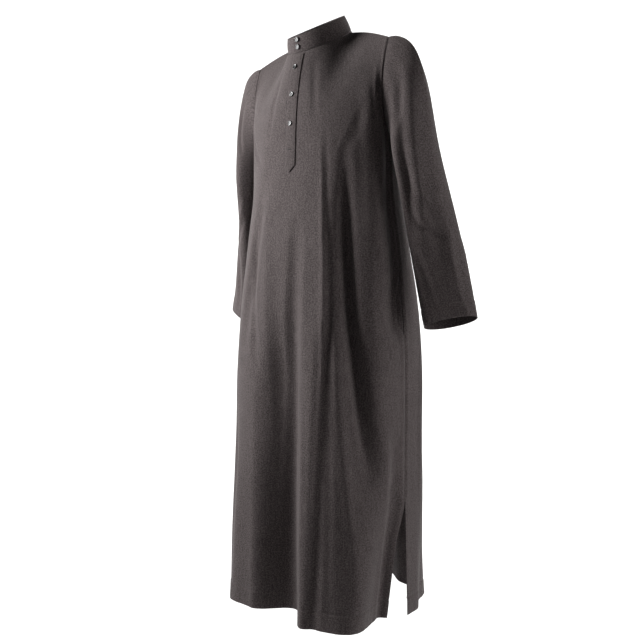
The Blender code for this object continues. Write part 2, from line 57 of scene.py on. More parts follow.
# Heights, from the high shoulder point
HEM_Z = -1.33
BACK_HEM_RISE = 0.022
UNDERARM_Z = -0.245
VENT_TOP_Z = -1.062
POCKET_TOP_Z = -0.545
POCKET_BOTTOM_Z = -0.695
PLACKET_TIP_Z = -0.322
PLACKET_POINT = 0.015
PLACKET_BUTTON_Z = (-0.076, -0.141, -0.209)
BAR_TACK_Z = -0.269
BAR_TACK_LENGTH = 0.013
BAR_TACK_RADIUS = 0.0012
BAR_TACK_RISE = 0.0008

# Neck, shoulder and armhole, the wearer's left
NECK_HALF_WIDTH = 0.078
NECK_HALF_DEPTH = 0.072
NECK_SLOPE = 0.56
SHOULDER_NECK_Y = 0.026
SHOULDER_POINT = np.array([0.206, 0.002, -0.028])
SHOULDER_ROUND = 0.005
FRONT_ARMHOLE_MIDDLE = (0.204, -0.019, -0.150)
BACK_ARMHOLE_MIDDLE = (0.200, 0.072, -0.150)
CENTRE_FRONT_MIDDLE = (0.0, -0.0925, -0.136)
CENTRE_BACK_MIDDLE = (0.0, 0.134, -0.072)
SEAM_ANGLE = math.pi - math.acos(SHOULDER_NECK_Y / NECK_HALF_DEPTH)
NECK_SHARE_FRONT = 0.5    # the part of half a panel's columns that ends on the neckline
NECK_SHARE_BACK = 0.375

# Band: how far its top is drawn in and along what curve, its lean and tip, and the
# degrees past the centre front that each end goes
BAND_TOP_SCALE = 0.90
BAND_CURVE = 1.3
BAND_LEAN = -0.013
BAND_TIP = np.array([0.08, -0.03])
BAND_LAP = 13.0
BAND_BUTTON_RISE = (0.011, 0.0245)

# Button, radius in half diameters and height in thicknesses: the outline from the
# middle of the back round the rim to the face, the dish in the face, the four holes
BUTTON_RIM = ((0.0, 0.0), (0.82, 0.0), (0.95, 0.10), (1.0, 0.35), (1.0, 0.62),
              (0.96, 0.86), (0.88, 0.98), (0.80, 0.97), (0.70, 0.82), (0.60, 0.70))
DISH_RADIUS = 0.56
DISH_HEIGHT = 0.66
HOLE_OFFSET = 0.2
HOLE_RADIUS = 0.085
HOLE_DEPTH = 0.55

# Gaps
SEAM_GAP = 0.0003
VENT_OPEN_FRONT = 0.032
VENT_OPEN_BACK = 0.013
VENT_FACING = 0.014
POCKET_OPEN = 0.022
POCKET_DEEP = 0.110
POCKET_STAND_OFF = 0.0175
POCKET_OPENS = 0.028
POCKET_CLOSES = 0.075

# Slow unevenness of the cloth: its size, and the seed of each piece
PANEL_WAVER = 0.0016
SLEEVE_WAVER = 0.0010
FRONT_SEED = 11
BACK_SEED = 12
LEFT_SEED = 21
RIGHT_SEED = 22

# Body sections, hem to underarm
#    z,    half_width, side_y, front_y, back_y, square
SECTIONS = np.array((
    (-1.330, 0.212, 0.048, -0.150, 0.226, 3.3),
    (-1.120, 0.217, 0.046, -0.148, 0.218, 3.2),
    (-0.950, 0.220, 0.044, -0.144, 0.209, 3.2),
    (-0.700, 0.222, 0.040, -0.136, 0.198, 2.9),
    (-0.500, 0.212, 0.027, -0.120, 0.162, 2.5),
    (-0.360, 0.200, 0.018, -0.106, 0.142, 2.3),
    (-0.245, 0.200, 0.012, -0.100, 0.138, 2.2),
))
HALF_PANEL = 0.33

# Large folds, which the solids have too. u is 0 at the centre, 1 at the
# wearer's left side seam and -1 at the right one, read at three heights.
#    z_top,  z_low, u_top, u_mid, u_low, half_width, depth_top, depth_low, fade_top, fade_low
FRONT_FOLDS = (
    (-0.560, -1.330, 0.020, 0.000, 0.000, 0.080, -0.010, -0.066, 0.25, 0.0),
    (-0.640, -1.330, 0.300, 0.275, 0.240, 0.036, 0.004, 0.008, 0.20, 0.0),
    (-0.640, -1.330, 0.375, 0.350, 0.300, 0.024, -0.005, -0.006, 0.10, 0.0),
    (-0.280, -1.180, 0.600, 0.570, 0.760, 0.064, -0.014, -0.022, 0.25, 0.30),
    (-0.800, -1.330, 0.820, 0.740, 0.540, 0.060, 0.000, 0.006, 0.20, 0.0),
    (-0.950, -1.330, 0.920, 0.900, 0.880, 0.110, 0.000, -0.032, 0.10, 0.0),
    (-0.300, -0.720, 0.900, 0.905, 0.920, 0.034, -0.008, -0.010, 0.10, 0.05),
    (-0.090, -0.620, 0.810, 0.815, 0.830, 0.046, 0.006, 0.009, 0.14, 0.20),
    (-0.330, -0.800, -0.360, -0.370, -0.400, 0.034, -0.007, -0.007, 0.15, 0.20),
    (-0.900, -1.330, -0.420, -0.450, -0.470, 0.070, 0.002, 0.016, 0.20, 0.0),
    (-0.450, -1.330, -0.760, -0.800, -0.820, 0.060, -0.008, -0.018, 0.25, 0.0),
)
BACK_FOLDS = (
    (-0.330, -1.330, -0.620, -0.640, -0.660, 0.070, -0.008, -0.024, 0.25, 0.0),
    (-0.300, -1.330, -0.180, -0.220, -0.240, 0.075, -0.010, -0.032, 0.25, 0.0),
    (-0.420, -1.330, 0.060, 0.040, 0.020, 0.060, 0.004, 0.014, 0.25, 0.0),
    (-0.360, -1.330, 0.280, 0.300, 0.300, 0.070, -0.008, -0.028, 0.25, 0.0),
    (-0.520, -1.330, 0.620, 0.660, 0.680, 0.060, -0.004, -0.018, 0.25, 0.0),
)

# Smaller creases, placed one by one. across is metres from the centre, to the
# wearer's left, and z is the height. Each runs through three points.
#    start (across, z), middle, end, half_width, depth, skew, crisp
PRESSED_LINE = ((0.113, -0.250), (0.121, -0.720), (0.085, -1.390))
FRONT_CREASES = (
    (*PRESSED_LINE, 0.050, 0.0060, 0.0, 0.9),
    (*PRESSED_LINE, 0.014, 0.0030, 0.0, 0.6),
    ((0.130, -0.220), (0.136, -0.750), (0.134, -1.360), 0.016, -0.0040, 0.0, 0.0),
    ((0.153, -0.600), (0.163, -0.900), (0.210, -1.320), 0.020, 0.0050, 0.1, 0.2),
    ((0.188, -0.270), (0.184, -0.650), (0.240, -1.020), 0.030, -0.0180, 0.2, 0.0),
    ((0.036, -0.420), (0.026, -0.840), (-0.020, -1.340), 0.034, -0.0130, 0.1, 0.0),
    ((-0.086, -0.400), (-0.036, -0.780), (-0.042, -1.180), 0.036, 0.0050, 0.0, 0.3),
    ((-0.150, -0.420), (-0.105, -0.600), (-0.070, -0.800), 0.018, -0.0040, 0.0, 0.0),
    ((0.290, -0.900), (0.303, -1.120), (0.300, -1.450), 0.028, -0.0120, 0.0, 0.0),
    ((0.262, -0.160), (0.210, -0.250), (0.160, -0.310), 0.024, -0.0022, 0.1, 0.0),
    ((0.293, -0.080), (0.291, -0.360), (0.288, -0.720), 0.024, 0.0060, 0.3, 0.6),
    ((0.324, -0.110), (0.322, -0.400), (0.318, -0.780), 0.022, -0.0120, 0.0, 0.0),
    ((-0.268, -0.170), (-0.205, -0.250), (-0.120, -0.300), 0.017, -0.0035, 0.1, 0.0),
    ((-0.290, -0.260), (-0.240, -0.370), (-0.225, -0.520), 0.020, -0.0040, 0.0, 0.0),
    ((-0.240, -0.560), (-0.255, -0.850), (-0.235, -1.200), 0.024, 0.0050, 0.1, 0.2),
    ((-0.165, -0.860), (-0.150, -1.080), (-0.165, -1.390), 0.020, -0.0050, -0.1, 0.0),
    ((0.055, -0.060), (0.075, -0.130), (0.090, -0.210), 0.018, -0.0020, 0.0, 0.0),
    ((-0.060, -0.070), (-0.085, -0.140), (-0.100, -0.250), 0.020, -0.0022, 0.0, 0.0),
    ((-0.020, -0.682), (0.060, -0.690), (0.170, -0.676), 0.010, 0.0008, 0.0, 0.0),
    ((0.062, -0.800), (0.072, -1.000), (0.066, -1.300), 0.014, 0.0030, 0.0, 0.2),
)
BACK_CREASES = (
    ((-0.105, -0.200), (-0.120, -0.720), (-0.095, -1.380), 0.046, 0.0052, 0.0, 0.9),
    ((0.112, -0.260), (0.118, -0.760), (0.100, -1.380), 0.040, 0.0044, 0.0, 0.9),
    ((0.020, -0.450), (0.010, -0.900), (-0.020, -1.380), 0.024, -0.0060, 0.1, 0.0),
    ((0.170, -0.350), (0.160, -0.800), (0.190, -1.360), 0.028, -0.0080, -0.2, 0.0),
    ((0.078, -0.520), (0.088, -0.950), (0.062, -1.400), 0.018, 0.0040, 0.0, 0.3),
    ((-0.210, -0.300), (-0.200, -0.700), (-0.240, -1.150), 0.026, -0.0080, 0.2, 0.0),
    ((-0.052, -0.620), (-0.060, -1.000), (-0.068, -1.370), 0.016, -0.0040, 0.2, 0.0),
    ((0.252, -0.600), (0.262, -0.950), (0.246, -1.300), 0.021, 0.0045, 0.0, 0.2),
    ((-0.285, -0.700), (-0.275, -1.000), (-0.290, -1.380), 0.022, -0.0060, 0.0, 0.0),
    ((0.268, -0.190), (0.200, -0.270), (0.110, -0.300), 0.016, -0.0032, 0.1, 0.0),
    ((-0.270, -0.200), (-0.190, -0.260), (-0.100, -0.330), 0.018, -0.0035, 0.1, 0.0),
    ((0.286, -0.270), (0.240, -0.390), (0.226, -0.560), 0.019, -0.0040, 0.0, 0.0),
    ((-0.100, -0.060), (0.000, -0.085), (0.095, -0.058), 0.014, 0.0018, 0.0, 0.0),
)

# Sleeves. Both are given on the wearer's left side, and the right one is mirrored.
# Each arm is its axis' top, how far the middle bends off it, and the cuff's middle.
LEFT_ARM = ((0.243, 0.010, -0.170), (-0.006, 0.016, 0.0), (0.322, 0.072, -0.664))
RIGHT_ARM = ((0.227, 0.010, -0.170), (0.003, 0.016, 0.0), (0.347, 0.070, -0.666))
#    along, half_long, half_short, turn in degrees from +X
SLEEVE_RINGS = np.array((
    (0.25, 0.066, 0.044, 84.0),
    (0.45, 0.064, 0.038, 70.0),
    (0.70, 0.061, 0.034, 50.0),
    (1.00, 0.059, 0.024, 30.0),
))
CUFF_TILT = 0.012
LEAVE_UNDERARM = np.array([0.35, 0.05, -1.0])
LEAVE_SHOULDER = np.array([1.0, 0.0, -0.05])
CAP_PULL = 0.40
#    along_top, along_low, angle_top, angle_low, half_width, depth
LEFT_SLEEVE_FOLDS = (
    (0.055, 0.64, 106.0, 84.0, 38.0, -0.016),
    (0.30, 1.00, 150.0, 120.0, 30.0, -0.004),
    (0.12, 0.75, 235.0, 262.0, 42.0, -0.008),
)
RIGHT_SLEEVE_FOLDS = (
    (0.05, 0.55, 66.0, 54.0, 44.0, -0.005),
    (0.15, 0.80, 132.0, 104.0, 40.0, -0.004),
    (0.30, 0.95, 246.0, 268.0, 42.0, -0.008),
)
# Smaller sleeve creases: start (degrees, share of the length), middle, end,
# half_width, depth, skew, crisp
LEFT_SLEEVE_CREASES = (
    ((142, 0.030), (112, 0.080), (86, 0.150), 0.022, -0.0040, 0.0, 0.0),
    ((166, 0.100), (150, 0.300), (138, 0.500), 0.026, -0.0024, 0.1, 0.0),
    ((100, 0.280), (114, 0.430), (156, 0.540), 0.020, -0.0028, 0.0, 0.0),
    ((92, 0.500), (120, 0.590), (168, 0.640), 0.014, -0.0040, 0.1, 0.0),
    ((78, 0.640), (94, 0.800), (100, 0.990), 0.016, -0.0035, 0.0, 0.0),
    ((172, 0.560), (156, 0.780), (160, 1.040), 0.020, 0.0040, 0.0, 0.4),
    ((208, 0.110), (226, 0.400), (214, 0.700), 0.022, -0.0050, 0.0, 0.0),
    ((278, 0.450), (258, 0.570), (226, 0.630), 0.016, -0.0040, 0.0, 0.0),
    ((250, 0.680), (238, 0.830), (244, 1.000), 0.018, 0.0035, 0.0, 0.3),
    ((302, 0.200), (300, 0.550), (288, 0.950), 0.020, -0.0040, 0.0, 0.0),
    ((18, 0.300), (30, 0.600), (14, 0.900), 0.020, -0.0040, 0.0, 0.0),
)
RIGHT_SLEEVE_CREASES = (
    ((138, 0.040), (116, 0.100), (82, 0.160), 0.017, -0.0050, 0.1, 0.0),
    ((170, 0.140), (154, 0.340), (146, 0.520), 0.020, -0.0040, 0.0, 0.0),
    ((84, 0.340), (112, 0.470), (152, 0.520), 0.016, -0.0050, 0.0, 0.0),
    ((70, 0.450), (98, 0.560), (142, 0.620), 0.018, -0.0040, 0.1, 0.0),
    ((106, 0.620), (88, 0.780), (92, 1.000), 0.018, -0.0038, 0.0, 0.0),
    ((176, 0.600), (166, 0.800), (172, 1.050), 0.022, 0.0038, 0.0, 0.4),
    ((216, 0.150), (232, 0.420), (222, 0.660), 0.020, -0.0046, 0.0, 0.0),
    ((268, 0.500), (248, 0.600), (214, 0.670), 0.017, -0.0040, 0.0, 0.0),
    ((310, 0.240), (296, 0.520), (300, 0.900), 0.021, -0.0042, 0.0, 0.0),
    ((8, 0.360), (24, 0.620), (20, 0.920), 0.019, -0.0036, 0.0, 0.0),
)
# Metres along a sleeve with its cap, along its axis alone, and from axis to cloth
SLEEVE_LENGTH = 0.60
AXIS_LENGTH = 0.51
SLEEVE_RADIUS = 0.056

# Camera, fitted to the photograph's outline
VIEW_AZIMUTH = 42.0
VIEW_DISTANCE = 1.95
VIEW_HEIGHT = -0.585
IMAGE_SIDE = 640.0
FOCAL_PIXELS = 816.0
AXIS_COLUMN = 319.5
HORIZON_ROW = 287.0
SENSOR = 36.0

# Stage. A lamp stands off the middle of the robe to the camera's right, towards the
# camera and up. A box points at the robe and a wash at the paper behind it.
ROBE_MIDDLE = np.array([0.0, 0.0, -0.65])
#    name, right, front, up, size_x, size_y, power
LAMPS = (
    ("left_box", -1.45, 0.06, 0.72, 0.6, 0.9, 56.0),
    ("right_box", 1.90, 0.60, 0.10, 0.9, 2.4, 36.0),
    ("back_wash_left", -2.6, -1.2, 1.2, 1.5, 1.5, 130.0),
    ("back_wash_right", 2.6, -1.2, 1.2, 1.5, 1.5, 130.0),
)
WASH_SPREAD = 0.6
WASH_BEHIND = 5.0
AIR_LIGHT = 0.09
FLOOR_Z = HEM_Z - 0.90
PAPER_BEHIND = 1.6


class RobeSizes(bpy.types.PropertyGroup):
    """Sizes of the cloth, its hems, its thread and its buttons."""

    cloth: FloatProperty(name="Cloth", description="Thickness of a cloth wall",
                         default=0.0016, unit="LENGTH")
    hem: FloatProperty(name="Hem", description="Depth of the turned hem",
                       default=0.040, unit="LENGTH")
    cuff_hem: FloatProperty(name="Cuff hem", description="Depth of the turned cuff hem",
                            default=0.040, unit="LENGTH")
    band_height: FloatProperty(name="Band height", description="Height of the collar band",
                               default=0.032, unit="LENGTH")
    placket_width: FloatProperty(name="Placket width", description="Width of the button placket",
                                 default=0.034, unit="LENGTH")
    button: FloatProperty(name="Button", description="Diameter of a button",
                          default=0.0116, unit="LENGTH")
    button_thick: FloatProperty(name="Button thickness", description="Thickness of a button",
                                default=0.0026, unit="LENGTH")
    stitch: FloatProperty(name="Stitch", description="Length of one stitch that shows",
                          default=0.0024, unit="LENGTH")
    stitch_pitch: FloatProperty(name="Stitch pitch", description="From one stitch to the next",
                                default=0.0034, unit="LENGTH")
    thread: FloatProperty(name="Thread", description="Thickness of the sewing thread",
                          default=0.0005, unit="LENGTH")
    weave: FloatProperty(name="Weave", description="From one thread of the weave to the next",
                         default=0.0009, unit="LENGTH")
    columns: IntProperty(name="Columns", description="Even columns across a panel", default=160)
    lower_rows: IntProperty(name="Lower rows", description="Even rows from hem to underarm",
                            default=180)
    upper_rows: IntProperty(name="Upper rows", description="Rows from underarm to shoulder",
                            default=48)


class RobeColours(bpy.types.PropertyGroup):
    """Colours of the cloth, the thread and the buttons, as linear values."""

    cloth: FloatVectorProperty(name="Cloth", description="Colour of the dark fibres",
                               subtype="COLOR", size=4, default=(0.0335, 0.0262, 0.0262, 1.0))
    fleck: FloatVectorProperty(name="Fleck", description="Colour of the pale fibres",
                               subtype="COLOR", size=4, default=(0.088, 0.0728, 0.0722, 1.0))
    thread: FloatVectorProperty(name="Thread", description="Colour of the sewing thread",
                                subtype="COLOR", size=4, default=(0.032, 0.028, 0.027, 1.0))
    button: FloatVectorProperty(name="Button", description="Colour of the buttons",
                                subtype="COLOR", size=4, default=(0.016, 0.015, 0.016, 1.0))
    stage: FloatVectorProperty(name="Stage", description="Colour of the floor and backdrop",
                               subtype="COLOR", size=4, default=(0.86, 0.86, 0.86, 1.0))


# Curves and surfaces

def ramp(x, low, high):
    """0 below low, 1 above high, and the S curve 3t^2 - 2t^3 between them."""
    t = np.clip((x - low) / max(high - low, 1e-9), 0.0, 1.0)
    return t * t * (3 - 2 * t)


def unit(vector):
    """The vector, or each of an array of them, divided by its length."""
    vector = np.asarray(vector, float)
    return vector / np.maximum(np.linalg.norm(vector, axis=-1, keepdims=True), 1e-12)


def bump(x, half_width):
    """A raised cosine, 1 at 0 and 0 from half_width on."""
    return np.where(np.abs(x) < half_width, 0.5 + 0.5 * np.cos(np.pi * x / half_width), 0.0)


def hermite(t, low, low_slope, high, high_slope):
    """The cubic through two values with their slopes, t from 0 to 1."""
    return ((2 * t**3 - 3 * t**2 + 1) * low + (t**3 - 2 * t**2 + t) * low_slope
            + (3 * t**2 - 2 * t**3) * high + (t**3 - t**2) * high_slope)


def cubic(x, xs, ys):
    """Smooth curve through a short table: Hermite pieces with mean slopes."""
    slope = np.gradient(ys, xs)
    x = np.clip(x, xs[0], xs[-1])
    k = np.clip(np.searchsorted(xs, x, side="right") - 1, 0, len(xs) - 2)
    step = xs[k + 1] - xs[k]
    return hermite((x - xs[k]) / step, ys[k], step * slope[k], ys[k + 1], step * slope[k + 1])


def resample(grid, rows, cols):
    """The grid read at fractional rows and columns, by Hermite pieces each way."""
    for at in (rows, cols):
        slope = np.gradient(grid, axis=0)
        k = np.clip(at.astype(int), 0, len(grid) - 2)
        t = (at - k)[:, None, None]
        grid = hermite(t, grid[k], slope[k], grid[k + 1], slope[k + 1]).swapaxes(0, 1)
    return grid


def read_grid(grid, row, col):
    """The grid read at scattered fractional rows and columns, straight between points."""
    r = np.clip(row.astype(int), 0, grid.shape[0] - 2)
    c = np.clip(col.astype(int), 0, grid.shape[1] - 2)
    a, b = (row - r)[..., None], (col - c)[..., None]
    return ((1 - a) * ((1 - b) * grid[r, c] + b * grid[r, c + 1])
            + a * ((1 - b) * grid[r + 1, c] + b * grid[r + 1, c + 1]))


def normals(grid):
    """Unit normals, across times up, so rows go up and columns to +X on a front."""
    return unit(np.cross(np.gradient(grid, axis=1), np.gradient(grid, axis=0)))


def tube_normals(grid):
    """Unit normals of a grid whose last column lies next to its first."""
    closed = np.concatenate([grid[:, -1:], grid, grid[:, :1]], axis=1)
    return normals(closed)[:, 1:-1]


def relax(grid, along, across, rounds):
    """Each round moves a point by its weight towards the mean of its neighbours."""
    for _ in range(rounds):
        up = 0.5 * (grid[2:] + grid[:-2]) - grid[1:-1]
        grid[1:-1] += 0.5 * along[1:-1, :, None] * up
        side = 0.5 * (grid[:, 2:] + grid[:, :-2]) - grid[:, 1:-1]
        grid[:, 1:-1] += 0.5 * across[:, 1:-1, None] * side
    return grid


def bend(start, middle, end, t):
    """Quadratic curve through three points, the second one at t = 0.5."""
    start, middle, end = (np.asarray(p, float) for p in (start, middle, end))
    control = 2 * middle - 0.5 * (start + end)
    t = np.asarray(t, float)[:, None]
    return (1 - t) ** 2 * start + 2 * t * (1 - t) * control + t**2 * end


def crease(across, up, start, middle, end, half_width, depth, skew, crisp):
    """A soft trough, depth negative, or ridge along a curved line.

    A raised cosine of the distance to the line, wider on one side by skew, times
    a half sine of the way along it, so that it fades out at both ends. The share
    crisp of it is (1 - distance / width) squared instead, which has a sharp top.
    """
    line = bend(start, middle, end, np.linspace(0.0, 1.0, 25))
    step = np.diff(line, axis=0)
    offset = np.stack([across, up], axis=-1)[..., None, :] - line[:-1]
    t = np.clip((offset * step).sum(-1) / (step**2).sum(-1), 0.0, 1.0)
    away = offset - t[..., None] * step
    distance = np.linalg.norm(away, axis=-1)
    near = distance.argmin(axis=-1)[..., None]
    least = np.take_along_axis(distance, near, -1)[..., 0]
    share = (near[..., 0] + np.take_along_axis(t, near, -1)[..., 0]) / len(step)
    turn = step[:, 0] * away[..., 1] - step[:, 1] * away[..., 0]
    side = np.sign(np.take_along_axis(turn, near, -1)[..., 0])
    width = half_width * (1 + skew * side)
    profile = (1 - crisp) * bump(least / width, 1.0) + crisp * np.clip(1 - least / width, 0.0, 1.0) ** 2
    return depth * np.sin(np.pi * share) ** 0.8 * profile


def waver(across, up, seed, size):
    """Slow unevenness: a sum of ten plane waves 90 to 260 mm long with seeded phases."""
    luck = np.random.default_rng(seed)
    total = np.zeros(np.broadcast(across, up).shape)
    for _ in range(10):
        length = luck.uniform(0.09, 0.26)
        way = luck.uniform(-0.7, 0.7)
        phase = luck.uniform(0, 2 * math.pi)
        total += np.sin(2 * math.pi / length * (across * math.cos(way) + up * math.sin(way)) + phase)
    return size * total / 10


# Body panels

def section_rows(z, is_front, share):
    """Half body sections: superellipses read at equal shares of their length.

    z is one height for each row and share has a row of values for each of them.
    """
    half_width, side_y, front_y, back_y, square = (
        cubic(z, SECTIONS[:, 0], SECTIONS[:, k])[:, None] for k in range(1, 6))
    s = np.linspace(0.0, 1.0, 240)
    angle = 0.5 * np.pi * (3 * s**2 - 2 * s**3)
    reach = (front_y if is_front else back_y) - side_y
    x = half_width * np.sin(angle) ** (2 / square)
    y = side_y + reach * np.abs(np.cos(angle)) ** (2 / square)
    rise = 0.0 if is_front else BACK_HEM_RISE * ramp(-z, -VENT_TOP_Z, -HEM_Z)[:, None]
    height = z[:, None] + rise * (1 - x / half_width)
    dense = np.stack([x, y, height], axis=-1)
    run = np.concatenate([np.zeros((len(z), 1)),
                          np.cumsum(np.linalg.norm(np.diff(dense, axis=1), axis=-1), axis=1)], axis=1)
    at = share * run[:, -1:]
    k = np.clip((run[:, None, :] <= at[:, :, None]).sum(-1) - 1, 0, len(s) - 2)
    low, high = np.take_along_axis(run, k, 1), np.take_along_axis(run, k + 1, 1)
    part = ((at - low) / (high - low))[..., None]
    first = np.take_along_axis(dense, k[..., None], 1)
    second = np.take_along_axis(dense, k[..., None] + 1, 1)
    return first * (1 - part) + second * part, run[:, -1:]


def neck_ring(angle, rise=0.0, scale=1.0, lean=0.0):
    """Ellipse round the neck, tipped up towards the back; angle 0 is the front."""
    y = -NECK_HALF_DEPTH * scale * np.cos(angle)
    x = NECK_HALF_WIDTH * scale * np.sin(angle)
    return np.stack([x, y + lean, NECK_SLOPE * y + rise], axis=-1)


def neck_share(is_front):
    """The share of half a panel's top edge that lies on the neckline."""
    return NECK_SHARE_FRONT if is_front else NECK_SHARE_BACK


def top_line(is_front, u):
    """Half a panel's top edge at shares u: the neckline, then the shoulder seam."""
    corner = neck_share(is_front)
    start = 0.0 if is_front else math.pi
    neck = neck_ring(start + (SEAM_ANGLE - start) * np.clip(u / corner, 0.0, 1.0))
    t = np.clip((u - corner) / (1 - corner), 0.0, 1.0)[:, None]
    seam = neck_ring(np.full(len(u), SEAM_ANGLE)) * (1 - t) + SHOULDER_POINT * t
    seam[:, 2] += SHOULDER_ROUND * np.sin(np.pi * t[:, 0])
    line = np.where(t > 0, seam, neck)
    line[:, 1] += np.where(u >= corner, (-0.5 if is_front else 0.5) * SEAM_GAP, 0.0)
    return line


def side_point():
    """The underarm point, where the side seam meets the armhole."""
    return np.array([SECTIONS[-1, 1], SECTIONS[-1, 2], UNDERARM_Z])


def armhole_line(is_front, t):
    """The armhole edge on the wearer's left, from the underarm to the shoulder."""
    return bend(side_point(), FRONT_ARMHOLE_MIDDLE if is_front else BACK_ARMHOLE_MIDDLE,
                SHOULDER_POINT, t)


def centre_line(is_front, t):
    """The centre front or back, from underarm height to the neckline."""
    y = SECTIONS[-1, 3 if is_front else 4]
    middle = CENTRE_FRONT_MIDDLE if is_front else CENTRE_BACK_MIDDLE
    neck_y = -NECK_HALF_DEPTH if is_front else NECK_HALF_DEPTH
    return bend((0.0, y, UNDERARM_Z), middle, (0.0, neck_y, NECK_SLOPE * neck_y), t)


def upper_half(is_front, u, rows):
    """Above the underarm: straight lines from the centre to the side, bulged by
    what the bottom and top edges stand off from their own straight lines."""
    t = np.linspace(0.0, 1.0, rows + 1)
    bottom = section_rows(np.array([UNDERARM_Z]), is_front, u[None])[0][0]
    top = top_line(is_front, u)
    centre, hole = centre_line(is_front, t)[:, None], armhole_line(is_front, t)[:, None]
    side = bend(side_point(), (side_point() + SHOULDER_POINT) / 2, SHOULDER_POINT, t)[:, None]
    t, u = t[:, None, None], u[None, :, None]
    chord = (1 - u) * centre + u * side + u**4 * (hole - side)
    low = bottom[None] - ((1 - u) * bottom[0] + u * bottom[-1])
    high = top[None] - ((1 - u) * top[0] + u * top[-1])
    return chord + (1 - t**2) * low + t**2 * high


def edge_pull(z, is_front, vent_share, pocket_share):
    """How far a panel's side edge stands back from the seam at a height."""
    vent = np.clip((VENT_TOP_Z - z) / (VENT_TOP_Z - HEM_Z), 0.0, 1.0)
    if not is_front:
        return VENT_OPEN_BACK * vent * vent_share
    mouth = ramp(z, POCKET_BOTTOM_Z - 0.001, POCKET_BOTTOM_Z + POCKET_OPENS)
    mouth = mouth * (1 - ramp(z, POCKET_TOP_Z - POCKET_CLOSES, POCKET_TOP_Z))
    return VENT_OPEN_FRONT * vent * vent_share + POCKET_OPEN * mouth * pocket_share


def fold_depth(folds, u, z):
    """Sum of the large folds at (u, z), outwards positive.

    Each is a raised cosine across, its centre a quadratic of the height, its
    depth going straight from the top value to the low one, faded in and out.
    """
    total = np.zeros(np.broadcast(u, z).shape)
    for z_top, z_low, u_top, u_mid, u_low, width, depth_top, depth_low, in_top, in_low in folds:
        s = np.clip((z_top - z) / (z_top - z_low), 0.0, 1.0)
        centre = u_top * (1 - s) * (1 - 2 * s) + 4 * u_mid * s * (1 - s) + u_low * s * (2 * s - 1)
        size = (depth_top + (depth_low - depth_top) * s) * ramp(z_top - z, 0.0, in_top)
        if in_low > 0:
            size = size * (1 - ramp(-z, -z_low - in_low, -z_low))
        total = total + size * bump((u - centre) * HALF_PANEL, width)
    return total


BASE_COLUMNS = 80
BASE_LOWER = 80
BASE_UPPER = 24


def plain_panel(is_front):
    """The panel without folds, on an even grid, rows from the hem to the top."""
    u = np.linspace(-1.0, 1.0, BASE_COLUMNS + 1)
    z = np.linspace(HEM_Z, UNDERARM_Z, BASE_LOWER + 1)[:-1]
    # How much of the vent's and of the pocket's opening each side shows
    left, right = ((1.0, 1.0), (0.8, 0.35)) if is_front else ((1.0, 0.0), (0.8, 0.0))
    pull = np.where(u[None] < 0, edge_pull(z, is_front, *right)[:, None],
                    edge_pull(z, is_front, *left)[:, None])
    length = section_rows(z, is_front, np.ones((len(z), 1)))[1]
    cut = 1 - (0.5 * SEAM_GAP + pull * np.abs(u) ** 5) / length
    lower, _ = section_rows(z, is_front, np.abs(u)[None] * cut)
    half = upper_half(is_front, u[BASE_COLUMNS // 2:], BASE_UPPER)
    upper = np.concatenate([half[:, :0:-1], half], axis=1)
    upper[:-1, (0, -1), 1] += (-0.5 if is_front else 0.5) * SEAM_GAP
    upper[:, (0, -1), 0] -= 0.5 * SEAM_GAP
    grid = np.concatenate([lower, upper])
    grid[:, :, 0] *= np.where(u < 0, -1.0, 1.0)
    underarm = np.exp(-((grid[:, :, 2] - UNDERARM_Z) / 0.06) ** 2) * (1 - u[None] ** 8)
    rows = np.arange(len(grid))[:, None]
    above = ramp(rows, BASE_LOWER, BASE_LOWER + 8) * (rows < len(grid) - 1)
    corner = above * np.exp(-((np.abs(u)[None] - neck_share(is_front)) / 0.12) ** 2)
    return relax(grid, underarm, corner, 30)


def panel_stations(sizes):
    """Fractional base rows and columns, closer together at hem, seams and centre."""
    near = np.array([0.0012, 0.0026, 0.0045, 0.0070, 0.0100])
    rows = np.linspace(0.0, BASE_LOWER, sizes.lower_rows + 1)[:-1]
    hem = np.concatenate([near, sizes.hem + np.array([-0.0045, -0.0022, 0.0, 0.0022, 0.0045])])
    hem_rows = hem / (UNDERARM_Z - HEM_Z) * BASE_LOWER
    upper = BASE_LOWER + np.linspace(0.0, BASE_UPPER, sizes.upper_rows + 1)
    top_rows = BASE_LOWER + BASE_UPPER * (1 - near[:3] / (SHOULDER_POINT[2] - UNDERARM_Z))
    u = np.linspace(-1.0, 1.0, sizes.columns + 1)
    edge = 1 - near / HALF_PANEL
    centre = np.array([-0.006, -0.002, 0.002, 0.006]) / HALF_PANEL
    u = np.concatenate([u, edge, -edge, centre])
    row_list = np.unique(np.concatenate([rows, hem_rows, upper, top_rows]).round(5))
    return row_list, (np.unique(u.round(5)) + 1) / 2 * BASE_COLUMNS


